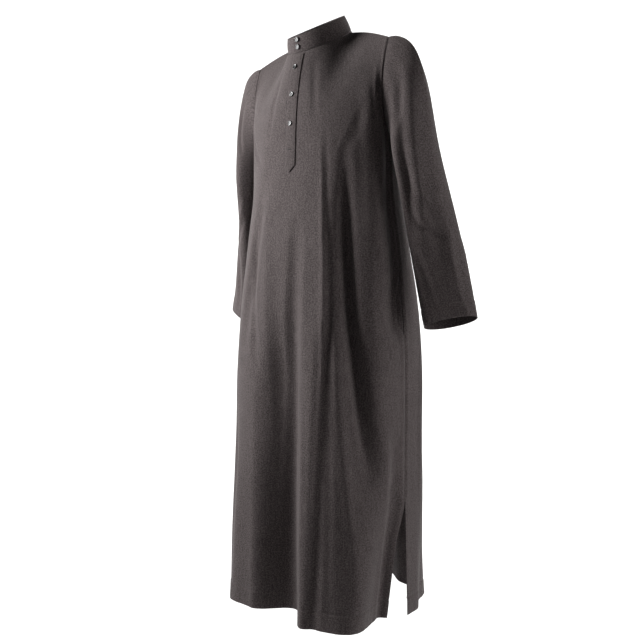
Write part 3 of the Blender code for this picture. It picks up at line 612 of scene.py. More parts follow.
def sewn_edges(sizes, is_front, u, z, rows):
    """Relief at the edges: a dip at each seam, the double hem and its groove."""
    side = (1 - np.abs(u)) * HALF_PANEL
    sewn = ramp(z, VENT_TOP_Z - 0.006, VENT_TOP_Z + 0.010)
    depth = sewn * (0.0007 * bump(side - 0.009, 0.008) - 0.0013 * bump(side, 0.006))
    above = z - HEM_Z
    pucker = 0.00025 * np.sin(u * HALF_PANEL * 2 * math.pi / 0.021 + 2.0 * np.sin(u * 9.0))
    depth = depth + (0.0008 + pucker) * (1 - ramp(above, sizes.hem - 0.002, sizes.hem + 0.002))
    depth = depth - 0.0010 * bump(above - sizes.hem, 0.0035)
    turned = 0.0007 * (1 - ramp(side, VENT_FACING - 0.002, VENT_FACING + 0.002))
    facing = (1 - sewn) * (turned - 0.0008 * bump(side - VENT_FACING, 0.003))
    top = rows >= BASE_LOWER + BASE_UPPER - 0.6
    shoulder = np.where(top & (np.abs(u) > neck_share(is_front)), -0.0008, 0.0)
    return depth + facing + shoulder


def panel_surface(sizes, is_front):
    """The finished outer face: plain form, large folds, creases and sewn edges."""
    rows, cols = panel_stations(sizes)
    grid = resample(plain_panel(is_front), rows, cols)
    u = (cols / BASE_COLUMNS * 2 - 1)[None, :]
    way = normals(grid) * (1.0 if is_front else -1.0)
    z = grid[:, :, 2]
    depth = fold_depth(FRONT_FOLDS if is_front else BACK_FOLDS, u, z)
    across = np.broadcast_to(u * HALF_PANEL, z.shape)
    for row in FRONT_CREASES if is_front else BACK_CREASES:
        depth = depth + crease(across, z, *row)
    depth = depth + waver(across, z, FRONT_SEED if is_front else BACK_SEED, PANEL_WAVER)
    free = ramp(-z, -VENT_TOP_Z, -VENT_TOP_Z + 0.10)
    depth = depth * (1 - np.abs(u) ** 12 * (1 - free))
    top = ramp(rows, BASE_LOWER + BASE_UPPER - 3, BASE_LOWER + BASE_UPPER)[:, None]
    depth = depth * (1 - top) + sewn_edges(sizes, is_front, u, z, rows[:, None])
    return grid + way * depth[..., None], rows, u[0]


def seam_normals(grid, is_front, rows, u):
    """Outward normals, with those on a seam shared by the panels that meet there."""
    way = normals(grid)
    below = rows <= BASE_LOWER
    way[np.ix_(below, (0, -1), (1,))] = 0.0
    above = ~below
    side = np.sign(grid[above][:, (0, -1), 0])
    nx = way[np.ix_(above, (0, -1), (0,))][..., 0]
    way[np.ix_(above, (0, -1), (0,))] = (side * np.maximum(side * nx, 0.25))[..., None]
    share = np.clip(np.abs(u) / neck_share(is_front), 0.0, 1.0)[:, None] ** 2
    shoulder = unit(np.stack([0.38 * np.sign(u), np.zeros_like(u), np.ones_like(u)], axis=-1))
    way[-1] = (1 - share) * way[-1] + share * shoulder
    return unit(way)


# Meshes

def point_numbers(rows, cols, closed=False):
    """The points' numbers as a grid, with the first column again at the end if closed."""
    number = np.arange(rows * cols).reshape(rows, cols)
    return np.concatenate([number, number[:, :1]], axis=1) if closed else number


def quads(number):
    """The four point numbers of each cell of a numbered grid."""
    corners = [number[:-1, :-1], number[:-1, 1:], number[1:, 1:], number[1:, :-1]]
    return np.stack(corners, axis=-1).reshape(-1, 4)


def rim_loops(rows, cols, tube):
    """Point numbers round the open edges of a grid, anticlockwise from outside."""
    number = point_numbers(rows, cols)
    if tube:
        return [number[0], number[-1, ::-1]]
    return [np.concatenate([number[0, :-1], number[:-1, -1], number[-1, :0:-1], number[:0:-1, 0]])]


def wall(outer, inward, thickness, tube=False):
    """Points and faces of a closed cloth wall, and each point's grid number.

    The outer grid, its copy moved inwards, and a rim of three rounded rows that
    keeps within the edge, because both faces are drawn back from it.
    """
    rows, cols = outer.shape[:2]
    flat = outer.reshape(-1, 3).copy()
    under = (outer + inward * thickness).reshape(-1, 3)
    face = quads(point_numbers(rows, cols, tube))
    faces = [face, face[:, ::-1] + rows * cols]
    points, source = [flat, under], [np.arange(rows * cols)] * 2
    inner = point_numbers(rows, cols)[np.clip(np.arange(rows), 1, rows - 2)]
    if not tube:
        inner = inner[:, np.clip(np.arange(cols), 1, cols - 2)]
    inner = inner.reshape(-1)
    count = 2 * rows * cols
    for loop in rim_loops(rows, cols, tube):
        out = unit(flat[loop] - flat[inner[loop]])
        edge, low = flat[loop].copy(), under[loop].copy()
        back = 0.45 * thickness * out
        flat[loop] = edge - back
        under[loop] = low - back
        rings = [loop]
        for share, reach in ((0.15, 0.30), (0.50, 0.0), (0.85, 0.30)):
            points.append(edge * (1 - share) + low * share - reach * back)
            source.append(loop)
            rings.append(count + np.arange(len(loop)))
            count += len(loop)
        rings.append(loop + rows * cols)
        for near, far in zip(rings, rings[1:]):
            faces.append(np.stack([np.roll(near, -1), near, far, np.roll(far, -1)], axis=-1))
    return np.concatenate(points), np.concatenate(faces), np.concatenate(source)


def cloth_lengths(grid, tube=False):
    """Metres across and up the cloth at each point, along its rows and columns."""
    across = np.cumsum(np.linalg.norm(np.diff(grid, axis=1), axis=-1), axis=1)
    across = np.concatenate([np.zeros((len(grid), 1)), across], axis=1)
    if not tube:
        across = across - across[:, across.shape[1] // 2][:, None]
    up = np.cumsum(np.linalg.norm(np.diff(grid, axis=0), axis=-1), axis=0)
    up = np.concatenate([np.zeros((1, grid.shape[1])), up])
    return np.stack([across, up], axis=-1)


def new_piece(name, points, faces, surface, sharp=40.0):
    """One object at the origin from its points, faces and material."""
    mesh = bpy.data.meshes.new(name)
    mesh.from_pydata(np.asarray(points, float).tolist(), [], np.asarray(faces).tolist())
    mesh.validate()
    mesh.shade_smooth()
    mesh.set_sharp_from_angle(angle=math.radians(sharp))
    mesh.materials.append(surface)
    piece = bpy.data.objects.new(name, mesh)
    bpy.context.collection.objects.link(piece)
    return piece


def lay_cloth_map(piece, lengths):
    """A UV map in metres, x across and y up the cloth."""
    mesh = piece.data
    corner = np.empty(len(mesh.loops), dtype=np.int32)
    mesh.loops.foreach_get("vertex_index", corner)
    layer = mesh.uv_layers.new(name="cloth_metres")
    layer.data.foreach_set("uv", lengths[corner].astype(np.float32).ravel())


def set_pale_mark(piece, amount):
    """A point attribute, 1 where the cloth's colour is drawn towards its pale fibres: at an edge or a
    pressed line.
    """
    layer = piece.data.attributes.new("pale_mark", "FLOAT", "POINT")
    layer.data.foreach_set("value", np.asarray(amount, dtype=np.float32))


def cloth_piece(name, grid, inward, sizes, node, pale_share=None, tube=False):
    """A cloth wall with its map and paler edges, riding on the root."""
    points, faces, source = wall(grid, inward, sizes.cloth, tube)
    piece = new_piece(name, points, faces, cloth_material())
    lay_cloth_map(piece, cloth_lengths(grid, tube).reshape(-1, 2)[source])
    pale_share = np.zeros(grid.shape[:2]) if pale_share is None else pale_share
    # Every rim point of the wall is made paler by 0.8 of the mark.
    rim = np.arange(len(source)) >= 2 * grid.shape[0] * grid.shape[1]
    set_pale_mark(piece, np.where(rim, 0.8, pale_share.reshape(-1)[source]))
    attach(piece, "root")
    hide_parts(node)
    return piece


def stitch_row(grid, way, rows, cols, sizes):
    """Points and faces of one row of stitches through fractional rows and columns.

    Each stitch is a slim spindle of four sides, its middle raised off the cloth by
    0.35 of half a thread.
    """
    rows, cols = np.broadcast_arrays(rows, cols)
    line, way = read_grid(grid, rows, cols), read_grid(way, rows, cols)
    run = np.concatenate([[0.0], np.cumsum(np.linalg.norm(np.diff(line, axis=0), axis=-1))])
    middle = np.arange(sizes.stitch, run[-1] - 0.5 * sizes.stitch, sizes.stitch_pitch)
    spot = np.stack([np.interp(middle, run, line[:, k]) for k in range(3)], axis=-1)
    up = unit(np.stack([np.interp(middle, run, way[:, k]) for k in range(3)], axis=-1))
    ahead = np.stack([np.interp(middle + 0.001, run, line[:, k]) for k in range(3)], axis=-1)
    ahead = unit(ahead - spot)
    side = np.cross(ahead, up)
    half, thick = 0.5 * sizes.stitch, 0.5 * sizes.thread
    shape = [(-half, 0.0, -0.6)]
    for reach in (-0.6 * half, 0.6 * half):
        shape += [(reach, 1.0, 0.0), (reach, 0.0, 0.9), (reach, -1.0, 0.0), (reach, 0.0, -0.9)]
    shape.append((half, 0.0, -0.6))
    shape = np.array(shape)
    points = (spot[:, None] + shape[None, :, :1] * ahead[:, None]
              + thick * shape[None, :, 1:2] * side[:, None]
              + thick * (shape[None, :, 2:] + 0.35) * up[:, None])
    ring = [(1, 2, 6, 5), (2, 3, 7, 6), (3, 4, 8, 7), (4, 1, 5, 8)]
    tips = [(0, 2, 1, 1), (0, 3, 2, 2), (0, 4, 3, 3), (0, 1, 4, 4),
            (9, 5, 6, 6), (9, 6, 7, 7), (9, 7, 8, 8), (9, 8, 5, 5)]
    faces = np.array(ring + tips)[None] + 10 * np.arange(len(spot))[:, None, None]
    return points.reshape(-1, 3), faces.reshape(-1, 4)


def join_runs(runs):
    """Several point and face sets as one."""
    count, points, faces = 0, [], []
    for some_points, some_faces in runs:
        points.append(some_points)
        faces.append(some_faces + count)
        count += len(some_points)
    return np.concatenate(points), np.concatenate(faces)


def stitch_piece(name, runs):
    """All stitches of one cloth piece as one mesh; the tips are triangles."""
    points, faces = join_runs(runs)
    lists = [face[:3] if face[2] == face[3] else face for face in faces.tolist()]
    mesh = bpy.data.meshes.new(name)
    mesh.from_pydata(points.tolist(), [], lists)
    mesh.shade_smooth()
    mesh.materials.append(thread_material())
    piece = bpy.data.objects.new(name, mesh)
    bpy.context.collection.objects.link(piece)
    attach(piece, "root")
    return piece


# Materials

def new_group(name, inputs, outputs):
    """An empty node group with its sockets; inputs and outputs are (name, type, default)."""
    group = bpy.data.node_groups.new(name, "ShaderNodeTree")
    for label, kind, default in inputs:
        socket = group.interface.new_socket(name=label, in_out="INPUT", socket_type=kind)
        if default is not None:
            socket.default_value = default
    for label, kind in outputs:
        group.interface.new_socket(name=label, in_out="OUTPUT", socket_type=kind)
    start = group.nodes.new("NodeGroupInput")
    end = group.nodes.new("NodeGroupOutput")
    return group, start, end


def maths(tree, operation, first, second=None, third=None):
    """A Math node whose inputs are sockets or plain numbers."""
    node = tree.nodes.new("ShaderNodeMath")
    node.operation = operation
    for socket, value in zip(node.inputs, (first, second, third)):
        if value is None:
            continue
        if isinstance(value, (int, float)):
            socket.default_value = value
        else:
            tree.links.new(value, socket)
    return node.outputs[0]


def noise(tree, vector, scale, detail, roughness):
    """A noise texture's value, 0 to 1, read at the vector."""
    node = tree.nodes.new("ShaderNodeTexNoise")
    node.inputs["Scale"].default_value = scale
    node.inputs["Detail"].default_value = detail
    node.inputs["Roughness"].default_value = roughness
    tree.links.new(vector, node.inputs["Vector"])
    return node.outputs["Fac"]


def stretched(tree, vector, x, y, z):
    """The vector scaled by its own factor each way."""
    node = tree.nodes.new("ShaderNodeVectorMath")
    node.operation = "MULTIPLY"
    node.inputs[1].default_value = (x, y, z)
    tree.links.new(vector, node.inputs[0])
    return node.outputs[0]


def drawn_noise(tree, cloth, across, up, detail, roughness):
    """Noise on the cloth's map with its own number of grains to the metre each way."""
    return noise(tree, stretched(tree, cloth, across, up, 1.0), 1.0, detail, roughness)


def weave_group():
    """Plain weave: the product of a sine across and a sine up makes the threads cross."""
    found = bpy.data.node_groups.get("plain_weave")
    if found:
        return found
    group, start, end = new_group(
        "plain_weave",
        [("Cloth", "NodeSocketVector", None), ("Pitch", "NodeSocketFloat", 0.0009)],
        [("Height", "NodeSocketFloat")])
    split = group.nodes.new("ShaderNodeSeparateXYZ")
    group.links.new(start.outputs["Cloth"], split.inputs[0])
    waves = []
    for axis in ("X", "Y"):
        turns = maths(group, "DIVIDE", split.outputs[axis], start.outputs["Pitch"])
        waves.append(maths(group, "SINE", maths(group, "MULTIPLY", turns, math.pi)))
    product = maths(group, "MULTIPLY", waves[0], waves[1])
    group.links.new(maths(group, "MULTIPLY_ADD", product, 0.5, 0.5), end.inputs["Height"])
    return group


def melange_group():
    """Pale and dark fibres: fine noise drawn out along the warp and along the weft,
    with coarser flecks 3 mm across and streaks 30 mm long along the warp."""
    found = bpy.data.node_groups.get("melange")
    if found:
        return found
    group, start, end = new_group(
        "melange", [("Cloth", "NodeSocketVector", None)],
        [("Fleck", "NodeSocketFloat"), ("Slub", "NodeSocketFloat")])
    cloth = start.outputs["Cloth"]
    warp = drawn_noise(group, cloth, 900.0, 260.0, 2.0, 0.6)
    weft = drawn_noise(group, cloth, 260.0, 900.0, 2.0, 0.6)
    grain = drawn_noise(group, cloth, 320.0, 320.0, 2.0, 0.7)
    streak = drawn_noise(group, cloth, 430.0, 36.0, 1.0, 0.5)
    coarse = maths(group, "MULTIPLY_ADD", grain, 1.3, maths(group, "MULTIPLY_ADD", streak, 0.45, -0.875))
    both = maths(group, "ADD", maths(group, "ADD", warp, weft), coarse)
    fleck = group.nodes.new("ShaderNodeMapRange")
    fleck.inputs["From Min"].default_value = 0.84
    fleck.inputs["From Max"].default_value = 1.20
    group.links.new(both, fleck.inputs["Value"])
    group.links.new(fleck.outputs["Result"], end.inputs["Fleck"])
    group.links.new(drawn_noise(group, cloth, 90.0, 700.0, 1.0, 0.5), end.inputs["Slub"])
    return group


def mottle_group():
    """Slow unevenness of shade, 60 to 200 mm across, round a value of 1."""
    found = bpy.data.node_groups.get("slow_mottle")
    if found:
        return found
    group, start, end = new_group(
        "slow_mottle", [("Place", "NodeSocketVector", None), ("Amount", "NodeSocketFloat", 0.1)],
        [("Shade", "NodeSocketFloat")])
    slow = noise(group, start.outputs["Place"], 9.0, 3.0, 0.55)
    centred = maths(group, "SUBTRACT", slow, 0.5)
    sized = maths(group, "MULTIPLY", centred, start.outputs["Amount"])
    group.links.new(maths(group, "ADD", sized, 1.0), end.inputs["Shade"])
    return group


def use_group(tree, group, vector, **values):
    """A node that runs the group at the vector, its first input, with these values."""
    node = tree.nodes.new("ShaderNodeGroup")
    node.node_tree = group
    tree.links.new(vector, node.inputs[0])
    for label, value in values.items():
        node.inputs[label].default_value = value
    return node


def new_material(name):
    """A new material with its node tree and its shader."""
    made = bpy.data.materials.new(name)
    made.use_nodes = True
    return made, made.node_tree, made.node_tree.nodes["Principled BSDF"]


def mottled_colour(tree, shader, vector, amount, colour):
    """The colour times the slow mottle at the vector, as the shader's base colour."""
    mottle = use_group(tree, mottle_group(), vector, Amount=amount)
    shade = tree.nodes.new("ShaderNodeVectorMath")
    shade.operation = "SCALE"
    shade.inputs[0].default_value = colour[:3]
    tree.links.new(mottle.outputs["Shade"], shade.inputs["Scale"])
    tree.links.new(shade.outputs["Vector"], shader.inputs["Base Color"])


def cloth_material():
    """Charcoal melange plain weave, a little paler along its edges, hems and pressed line, with painted
    shade between the threads of the weave.
    """
    found = bpy.data.materials.get("charcoal_cloth")
    if found:
        return found
    colours, sizes = bpy.context.scene.robe_colours, bpy.context.scene.robe_sizes
    made, tree, shader = new_material("charcoal_cloth")
    shader.inputs["Specular IOR Level"].default_value = 0.15
    shader.inputs["Sheen Weight"].default_value = 0.12
    shader.inputs["Sheen Roughness"].default_value = 0.5
    shader.inputs["Sheen Tint"].default_value = (0.9, 0.87, 0.86, 1.0)
    cloth_map = tree.nodes.new("ShaderNodeUVMap")
    cloth_map.uv_map = "cloth_metres"
    place = tree.nodes.new("ShaderNodeTexCoord")
    melange = use_group(tree, melange_group(), cloth_map.outputs["UV"])
    mottle = use_group(tree, mottle_group(), place.outputs["Object"], Amount=0.22)
    weave = use_group(tree, weave_group(), cloth_map.outputs["UV"], Pitch=sizes.weave)
    pale_mark = tree.nodes.new("ShaderNodeAttribute")
    pale_mark.attribute_name = "pale_mark"

    blend = tree.nodes.new("ShaderNodeMix")
    blend.data_type = "RGBA"
    blend.inputs["A"].default_value = colours.cloth
    blend.inputs["B"].default_value = colours.fleck
    # The colour goes 0.3 of the pale mark towards the pale fibres: paler at edges, hems and the pressed
    # line.
    fibre = maths(tree, "MULTIPLY_ADD", pale_mark.outputs["Fac"], 0.30, melange.outputs["Fleck"])
    tree.links.new(maths(tree, "MINIMUM", fibre, 1.0), blend.inputs["Factor"])
    shade = tree.nodes.new("ShaderNodeVectorMath")
    shade.operation = "SCALE"
    tree.links.new(blend.outputs["Result"], shade.inputs[0])
    # Painted shade: the colour is scaled from 0.92 at the weave's low points to 1.08 at its high ones,
    # times the slow mottle.
    deep = maths(tree, "MULTIPLY_ADD", weave.outputs["Height"], 0.16, 0.92)
    tree.links.new(maths(tree, "MULTIPLY", deep, mottle.outputs["Shade"]), shade.inputs["Scale"])
    tree.links.new(shade.outputs["Vector"], shader.inputs["Base Color"])
    rough = maths(tree, "MULTIPLY_ADD", melange.outputs["Fleck"], -0.10, 0.95)
    tree.links.new(rough, shader.inputs["Roughness"])
    height = maths(tree, "MULTIPLY_ADD", melange.outputs["Slub"], 0.7, weave.outputs["Height"])
    bumped = tree.nodes.new("ShaderNodeBump")
    bumped.inputs["Strength"].default_value = 0.5
    bumped.inputs["Distance"].default_value = 0.00022
    tree.links.new(height, bumped.inputs["Height"])
    tree.links.new(bumped.outputs["Normal"], shader.inputs["Normal"])
    return made


def thread_material():
    """Sewing thread of the cloth's own shade, twisted and a little glossier."""
    found = bpy.data.materials.get("sewing_thread")
    if found:
        return found
    made, tree, shader = new_material("sewing_thread")
    shader.inputs["Specular IOR Level"].default_value = 0.3
    place = tree.nodes.new("ShaderNodeTexCoord")
    mottled_colour(tree, shader, place.outputs["Object"], 0.5, bpy.context.scene.robe_colours.thread)
    rough = noise(tree, place.outputs["Object"], 1800.0, 1.0, 0.5)
    tree.links.new(maths(tree, "MULTIPLY_ADD", rough, 0.3, 0.45), shader.inputs["Roughness"])
    return made


def button_material():
    """Dark polished plastic with faint streaks and fine scratches."""
    found = bpy.data.materials.get("button_plastic")
    if found:
        return found
    made, tree, shader = new_material("button_plastic")
    shader.inputs["Coat Weight"].default_value = 0.2
    shader.inputs["Coat Roughness"].default_value = 0.08
    place = tree.nodes.new("ShaderNodeTexCoord")
    streaks = stretched(tree, place.outputs["Object"], 40.0, 40.0, 12.0)
    mottled_colour(tree, shader, streaks, 0.8, bpy.context.scene.robe_colours.button)
    scratch = noise(tree, place.outputs["Object"], 2500.0, 2.0, 0.6)
    tree.links.new(maths(tree, "MULTIPLY_ADD", scratch, 0.20, 0.22), shader.inputs["Roughness"])
    return made


def stage_material():
    """Matt paper, very slightly uneven."""
    made, tree, shader = new_material("studio_paper")
    shader.inputs["Roughness"].default_value = 0.9
    place = tree.nodes.new("ShaderNodeTexCoord")
    mottled_colour(tree, shader, place.outputs["Object"], 0.02, bpy.context.scene.robe_colours.stage)
    return made


# Pieces

FACES = {}


def panel_faces(sizes, is_front):
    """A panel's outer face with its rows and shares, worked out once."""
    if is_front not in FACES:
        FACES[is_front] = panel_surface(sizes, is_front)
    return FACES[is_front]


def hem_paling(from_edge, hem, line):
    """Paler cloth at a hem: fading away from its edge, and a raised cosine on its line."""
    return 0.5 * np.exp(-from_edge / 0.004) + line * bump(from_edge - hem, 0.004)


def panel_paling(sizes, grid, u, is_front):
    """Paler cloth: the hem edge, the hem line and, in front, the pressed line."""
    above = grid[:, :, 2] - grid[:1, :, 2]
    pale_share = hem_paling(above, sizes.hem, 0.25)
    if is_front:
        across = np.broadcast_to(u[None] * HALF_PANEL, above.shape)
        pale_share = pale_share + crease(across, grid[:, :, 2], *PRESSED_LINE, 0.008, 0.5, 0.0, 0.0)
    return pale_share


def lay_on(sizes, x, z):
    """Rows and columns at which the front face crosses x and z near the centre.

    A first guess from the centre column, then repeated straight corrections.
    """
    grid, _, _ = panel_faces(sizes, True)
    middle = grid.shape[1] // 2
    heights = grid[:, middle, 2]
    count = np.arange(len(heights))
    row = np.interp(z, heights, count)
    numbers = np.arange(-12, 13)
    for _ in range(5):
        places = read_grid(grid, *np.broadcast_arrays(row[..., None], middle + numbers))[..., 0]
        k = np.clip((places <= x[..., None]).sum(-1) - 1, 0, len(numbers) - 2)
        low = np.take_along_axis(places, k[..., None], -1)[..., 0]
        high = np.take_along_axis(places, k[..., None] + 1, -1)[..., 0]
        col = middle + numbers[k] + (x - low) / (high - low)
        aim = np.interp(row, count, heights) + z - read_grid(grid, row, col)[..., 2]
        row = np.interp(aim, heights, count)
    return row, col


def front_point(sizes, x, z):
    """Point and outward normal of the front face where it crosses x and z."""
    grid, _, _ = panel_faces(sizes, True)
    row, col = lay_on(sizes, x, z)
    return read_grid(grid, row, col), unit(read_grid(normals(grid), row, col))


class ROBE_OT_panels(bpy.types.Operator):
    """Make the front and back panels, with their hems and vents"""

    bl_idname = "robe.panels"
    bl_label = "Front and back panels"

    def execute(self, context):
        sizes = context.scene.robe_sizes
        for is_front in (True, False):
            grid, rows, u = panel_faces(sizes, is_front)
            pale_share = panel_paling(sizes, grid, u, is_front)
            if not is_front:
                grid, u, pale_share = grid[:, ::-1], u[::-1], pale_share[:, ::-1]
            inward = -seam_normals(grid, is_front, rows, u)
            name = "front_panel" if is_front else "back_panel"
            piece = cloth_piece(f"{name}_cloth", grid, inward, sizes, name, pale_share)
        return {"FINISHED"}


def sleeve_ring(arm, share, angles):
    """Points round the sleeve: an ellipse across its axis, turned from ring to ring."""
    top, middle_bend, cuff = np.array(arm)
    axis = unit(cuff - top)
    half_long, half_short, turn = (
        cubic(share, SLEEVE_RINGS[:, 0], SLEEVE_RINGS[:, k])[:, None] for k in (1, 2, 3))
    outward = unit(np.array([1.0, 0, 0]) - axis * axis[0])
    forward = np.cross(axis, outward)
    turn = np.radians(-turn)
    x, y = -np.cos(angles)[None], np.sin(angles)[None]
    long_way = x * np.cos(turn) + y * np.sin(turn)
    short_way = -x * np.sin(turn) + y * np.cos(turn)
    out = half_long * long_way * np.cos(turn) - half_short * short_way * np.sin(turn)
    fore = half_long * long_way * np.sin(turn) + half_short * short_way * np.cos(turn)
    share = share[:, None, None]
    centre = top + (cuff - top) * share + 4 * share * (1 - share) * middle_bend
    ring = centre + out[..., None] * outward + fore[..., None] * forward
    toward = (-out * np.sin(turn) + fore * np.cos(turn)) / half_short
    ring[:, :, 2] += CUFF_TILT * ramp(share[:, :, 0], 0.85, 1.0) * toward
    return ring, axis


def sleeve_form(arm):
    """The plain sleeve from the cuff up, with the share of each row and the angles.

    A cap of cubic curves goes from the armhole to the first ring, and rings go on
    from there to the cuff.
    """
    t = np.linspace(0.0, 1.0, 57)
    front, back = armhole_line(True, t), armhole_line(False, t)
    hole = np.concatenate([front, back[-2:0:-1]])
    hole[:, 0] += 0.5 * SEAM_GAP
    angles = np.concatenate([np.pi * t, 2 * np.pi - np.pi * t[-2:0:-1]])
    first = SLEEVE_RINGS[0, 0]
    ring, axis = sleeve_ring(arm, np.array([first]), angles)
    lift = (0.5 - 0.5 * np.cos(angles))[:, None]
    leave = unit((1 - lift) * LEAVE_UNDERARM + lift * LEAVE_SHOULDER)
    pull = CAP_PULL * np.linalg.norm(ring[0] - hole, axis=1, keepdims=True)
    one, two = hole + pull * leave, ring[0] - pull * axis
    near = np.array([0.006, 0.014, 0.026])
    s = np.unique(np.concatenate([np.linspace(0.0, 1.0, 34)[:-1], near]))[:, None, None]
    cap = (1 - s) ** 3 * hole + 3 * s * (1 - s) ** 2 * one + 3 * s * s * (1 - s) * two + s**3 * ring[0]
    hem = np.array([0.0012, 0.0028, 0.005, 0.008, 0.0356, 0.0378, 0.0422, 0.0444])
    low = np.unique(np.concatenate([np.linspace(first, 1.0, 92), 1 - hem / AXIS_LENGTH]))
    lower, _ = sleeve_ring(arm, low, angles)
    grid = np.concatenate([cap, lower])[::-1]
    share = np.concatenate([s[:, 0, 0] * first, low])[::-1][:, None]
    smooth = np.exp(-((share - first) / 0.06) ** 2) * np.ones(grid.shape[:2])
    return relax(grid.copy(), smooth, 0.0 * smooth, 30), share, angles


def sleeve_surface(sizes, arm, folds, creases, seed):
    """The wearer's left sleeve: plain form, folds, creases, unevenness and cuff hem."""
    grid, share, angles = sleeve_form(arm)
    degrees = np.degrees(angles)[None, :]
    arc = math.radians(1) * SLEEVE_RADIUS
    depth = np.zeros(grid.shape[:2])
    for top, bottom, angle_top, angle_low, width, size in folds:
        along = np.clip((share - top) / (bottom - top), 0.0, 1.0)
        centre = angle_top + (angle_low - angle_top) * along
        depth += size * np.sin(np.pi * along) * bump((degrees - centre + 180) % 360 - 180, width)
    up = np.broadcast_to(-share * SLEEVE_LENGTH, depth.shape)
    for start, middle, end, *form in creases:
        points = [(a * arc, -b * SLEEVE_LENGTH) for a, b in (start, middle, end)]
        for lap in (-360.0, 0.0, 360.0):
            spread = np.broadcast_to((degrees + lap) * arc, depth.shape)
            depth += crease(spread, up, *points, *form)
    outer = 0.5 - 0.5 * np.cos(np.radians(degrees))
    depth += waver(degrees * arc, up, seed, SLEEVE_WAVER) * outer * ramp(share, 0.0, 0.15)
    from_cuff = (1 - share) * AXIS_LENGTH
    depth += 0.0007 * (1 - ramp(from_cuff, sizes.cuff_hem - 0.002, sizes.cuff_hem + 0.002))
    depth -= 0.0009 * bump(from_cuff - sizes.cuff_hem, 0.0035)
    from_seam = share * SLEEVE_LENGTH
    depth += 0.0006 * bump(from_seam - 0.009, 0.008) - 0.0004 * bump(from_seam, 0.004)
    return grid + tube_normals(grid) * depth[..., None], share[:, 0]


class ROBE_OT_sleeves(bpy.types.Operator):
    """Make both sleeves, from the armhole seam with its stitches to the cuff"""

    bl_idname = "robe.sleeves"
    bl_label = "Sleeves"

    def execute(self, context):
        sizes = context.scene.robe_sizes
        kinds = (
            ("left_sleeve", LEFT_ARM, LEFT_SLEEVE_FOLDS, LEFT_SLEEVE_CREASES, LEFT_SEED, False),
            ("right_sleeve", RIGHT_ARM, RIGHT_SLEEVE_FOLDS, RIGHT_SLEEVE_CREASES, RIGHT_SEED, True))
        for name, arm, folds, creases, seed, mirrored in kinds:
            grid, share = sleeve_surface(sizes, arm, folds, creases, seed)
            if mirrored:
                grid = grid[:, ::-1] * np.array([-1.0, 1.0, 1.0])
            way = tube_normals(grid)
            from_cuff = ((1 - share) * AXIS_LENGTH)[:, None] * np.ones(grid.shape[:2])
            pale_share = hem_paling(from_cuff, sizes.cuff_hem, 0.2)
            piece = cloth_piece(f"{name}_cloth", grid, -way, sizes, name, pale_share, tube=True)
            armhole = len(share) - 1.0
            col = np.linspace(0.0, grid.shape[1], 300)
            wide = np.concatenate([grid, grid[:, :2]], axis=1)
            wide_way = np.concatenate([way, way[:, :2]], axis=1)
            stitch_piece(f"{name}_stitches", [stitch_row(wide, wide_way, armhole, col, sizes)])
        return {"FINISHED"}


def band_ring(angles, share, rise):
    """The band's face at a share of its height: the neck ellipse raised, drawn in
    by a power of the share, leaned back and tipped."""
    scale = 1 + (BAND_TOP_SCALE - 1) * share**BAND_CURVE
    ring = neck_ring(angles, rise, scale, BAND_LEAN * share)
    ring[..., 2] += share * (ring[..., :2] @ BAND_TIP)
    return ring


def band_surface(sizes):
    """The band all the way round, its right end under the left."""
    lap = math.radians(BAND_LAP)
    angles = np.linspace(lap, -2 * math.pi - lap, 281)
    turned = -np.degrees(angles)
    under = (sizes.cloth + SEAM_GAP) * (1 - ramp(turned, BAND_LAP + 3.0, BAND_LAP + 45.0))
    share = np.unique(np.concatenate([np.linspace(0.0, 1.0, 11), [0.04, 0.08, 0.88, 0.92, 0.96]]))
    height = share[:, None] + 0.0 * angles
    grid = band_ring(angles + 0.0 * height, height, SEAM_GAP + sizes.band_height * height)
    away = unit(grid * np.array([1.0, 1.0, 0.0]))
    relief = 0.0005 * np.sin(np.pi * height) - 0.0005 * bump(height - 0.92, 0.05)
    grid = grid - away * (under - relief)[..., None]
    return grid[:, ::-1], share


class ROBE_OT_band(bpy.types.Operator):
    """Make the collar band with its topstitching"""

    bl_idname = "robe.band"
    bl_label = "Collar band"

    def execute(self, context):
        sizes = context.scene.robe_sizes
        grid, share = band_surface(sizes)
        way = unit(normals(grid) * np.array([1.0, 1.0, 0.25]))
        pale_share = 0.5 * bump(1 - share, 0.08)[:, None] * np.ones(grid.shape[:2])
        piece = cloth_piece("collar_band_cloth", grid, -way, sizes, "collar_band", pale_share)
        runs = []
        ends = (2.0, grid.shape[1] - 3.0)
        for level in (0.08, 0.92):
            row = np.interp(level, share, np.arange(len(share)))
            runs.append(stitch_row(grid, way, row, np.linspace(*ends, 500), sizes))
        row = np.linspace(1.5, len(share) - 2.5, 40)
        for end in ends:
            runs.append(stitch_row(grid, way, row, end, sizes))
        stitch_piece("collar_band_stitches", runs)
        return {"FINISHED"}


def placket_surface(sizes):
    """A strip on the front face, its lower end pointed, raised by its own wall."""
    grid, _, _ = panel_faces(sizes, True)
    half = 0.5 * sizes.placket_width
    x = half * np.array([-1.0, -0.94, -0.86, -0.76, -0.5, -0.25, 0.0, 0.25, 0.5, 0.76, 0.86, 0.94, 1.0])
    top = grid[-1, grid.shape[1] // 2, 2] - 0.004
    tip = PLACKET_TIP_Z + PLACKET_POINT * np.abs(x / half)
    share = np.concatenate([[0.0, 0.004, 0.009, 0.014], np.linspace(0.022, 1.0, 100)])[:, None]
    z = tip * (1 - share) + top * share
    point, way = front_point(sizes, x + 0.0 * z, z)
    side = half - np.abs(x)
    relief = 0.0005 * bump(side - 0.011, 0.011) - 0.0006 * bump(side - 0.0026, 0.0020)
    return point + way * (sizes.cloth + 2 * SEAM_GAP + relief)[..., None], way


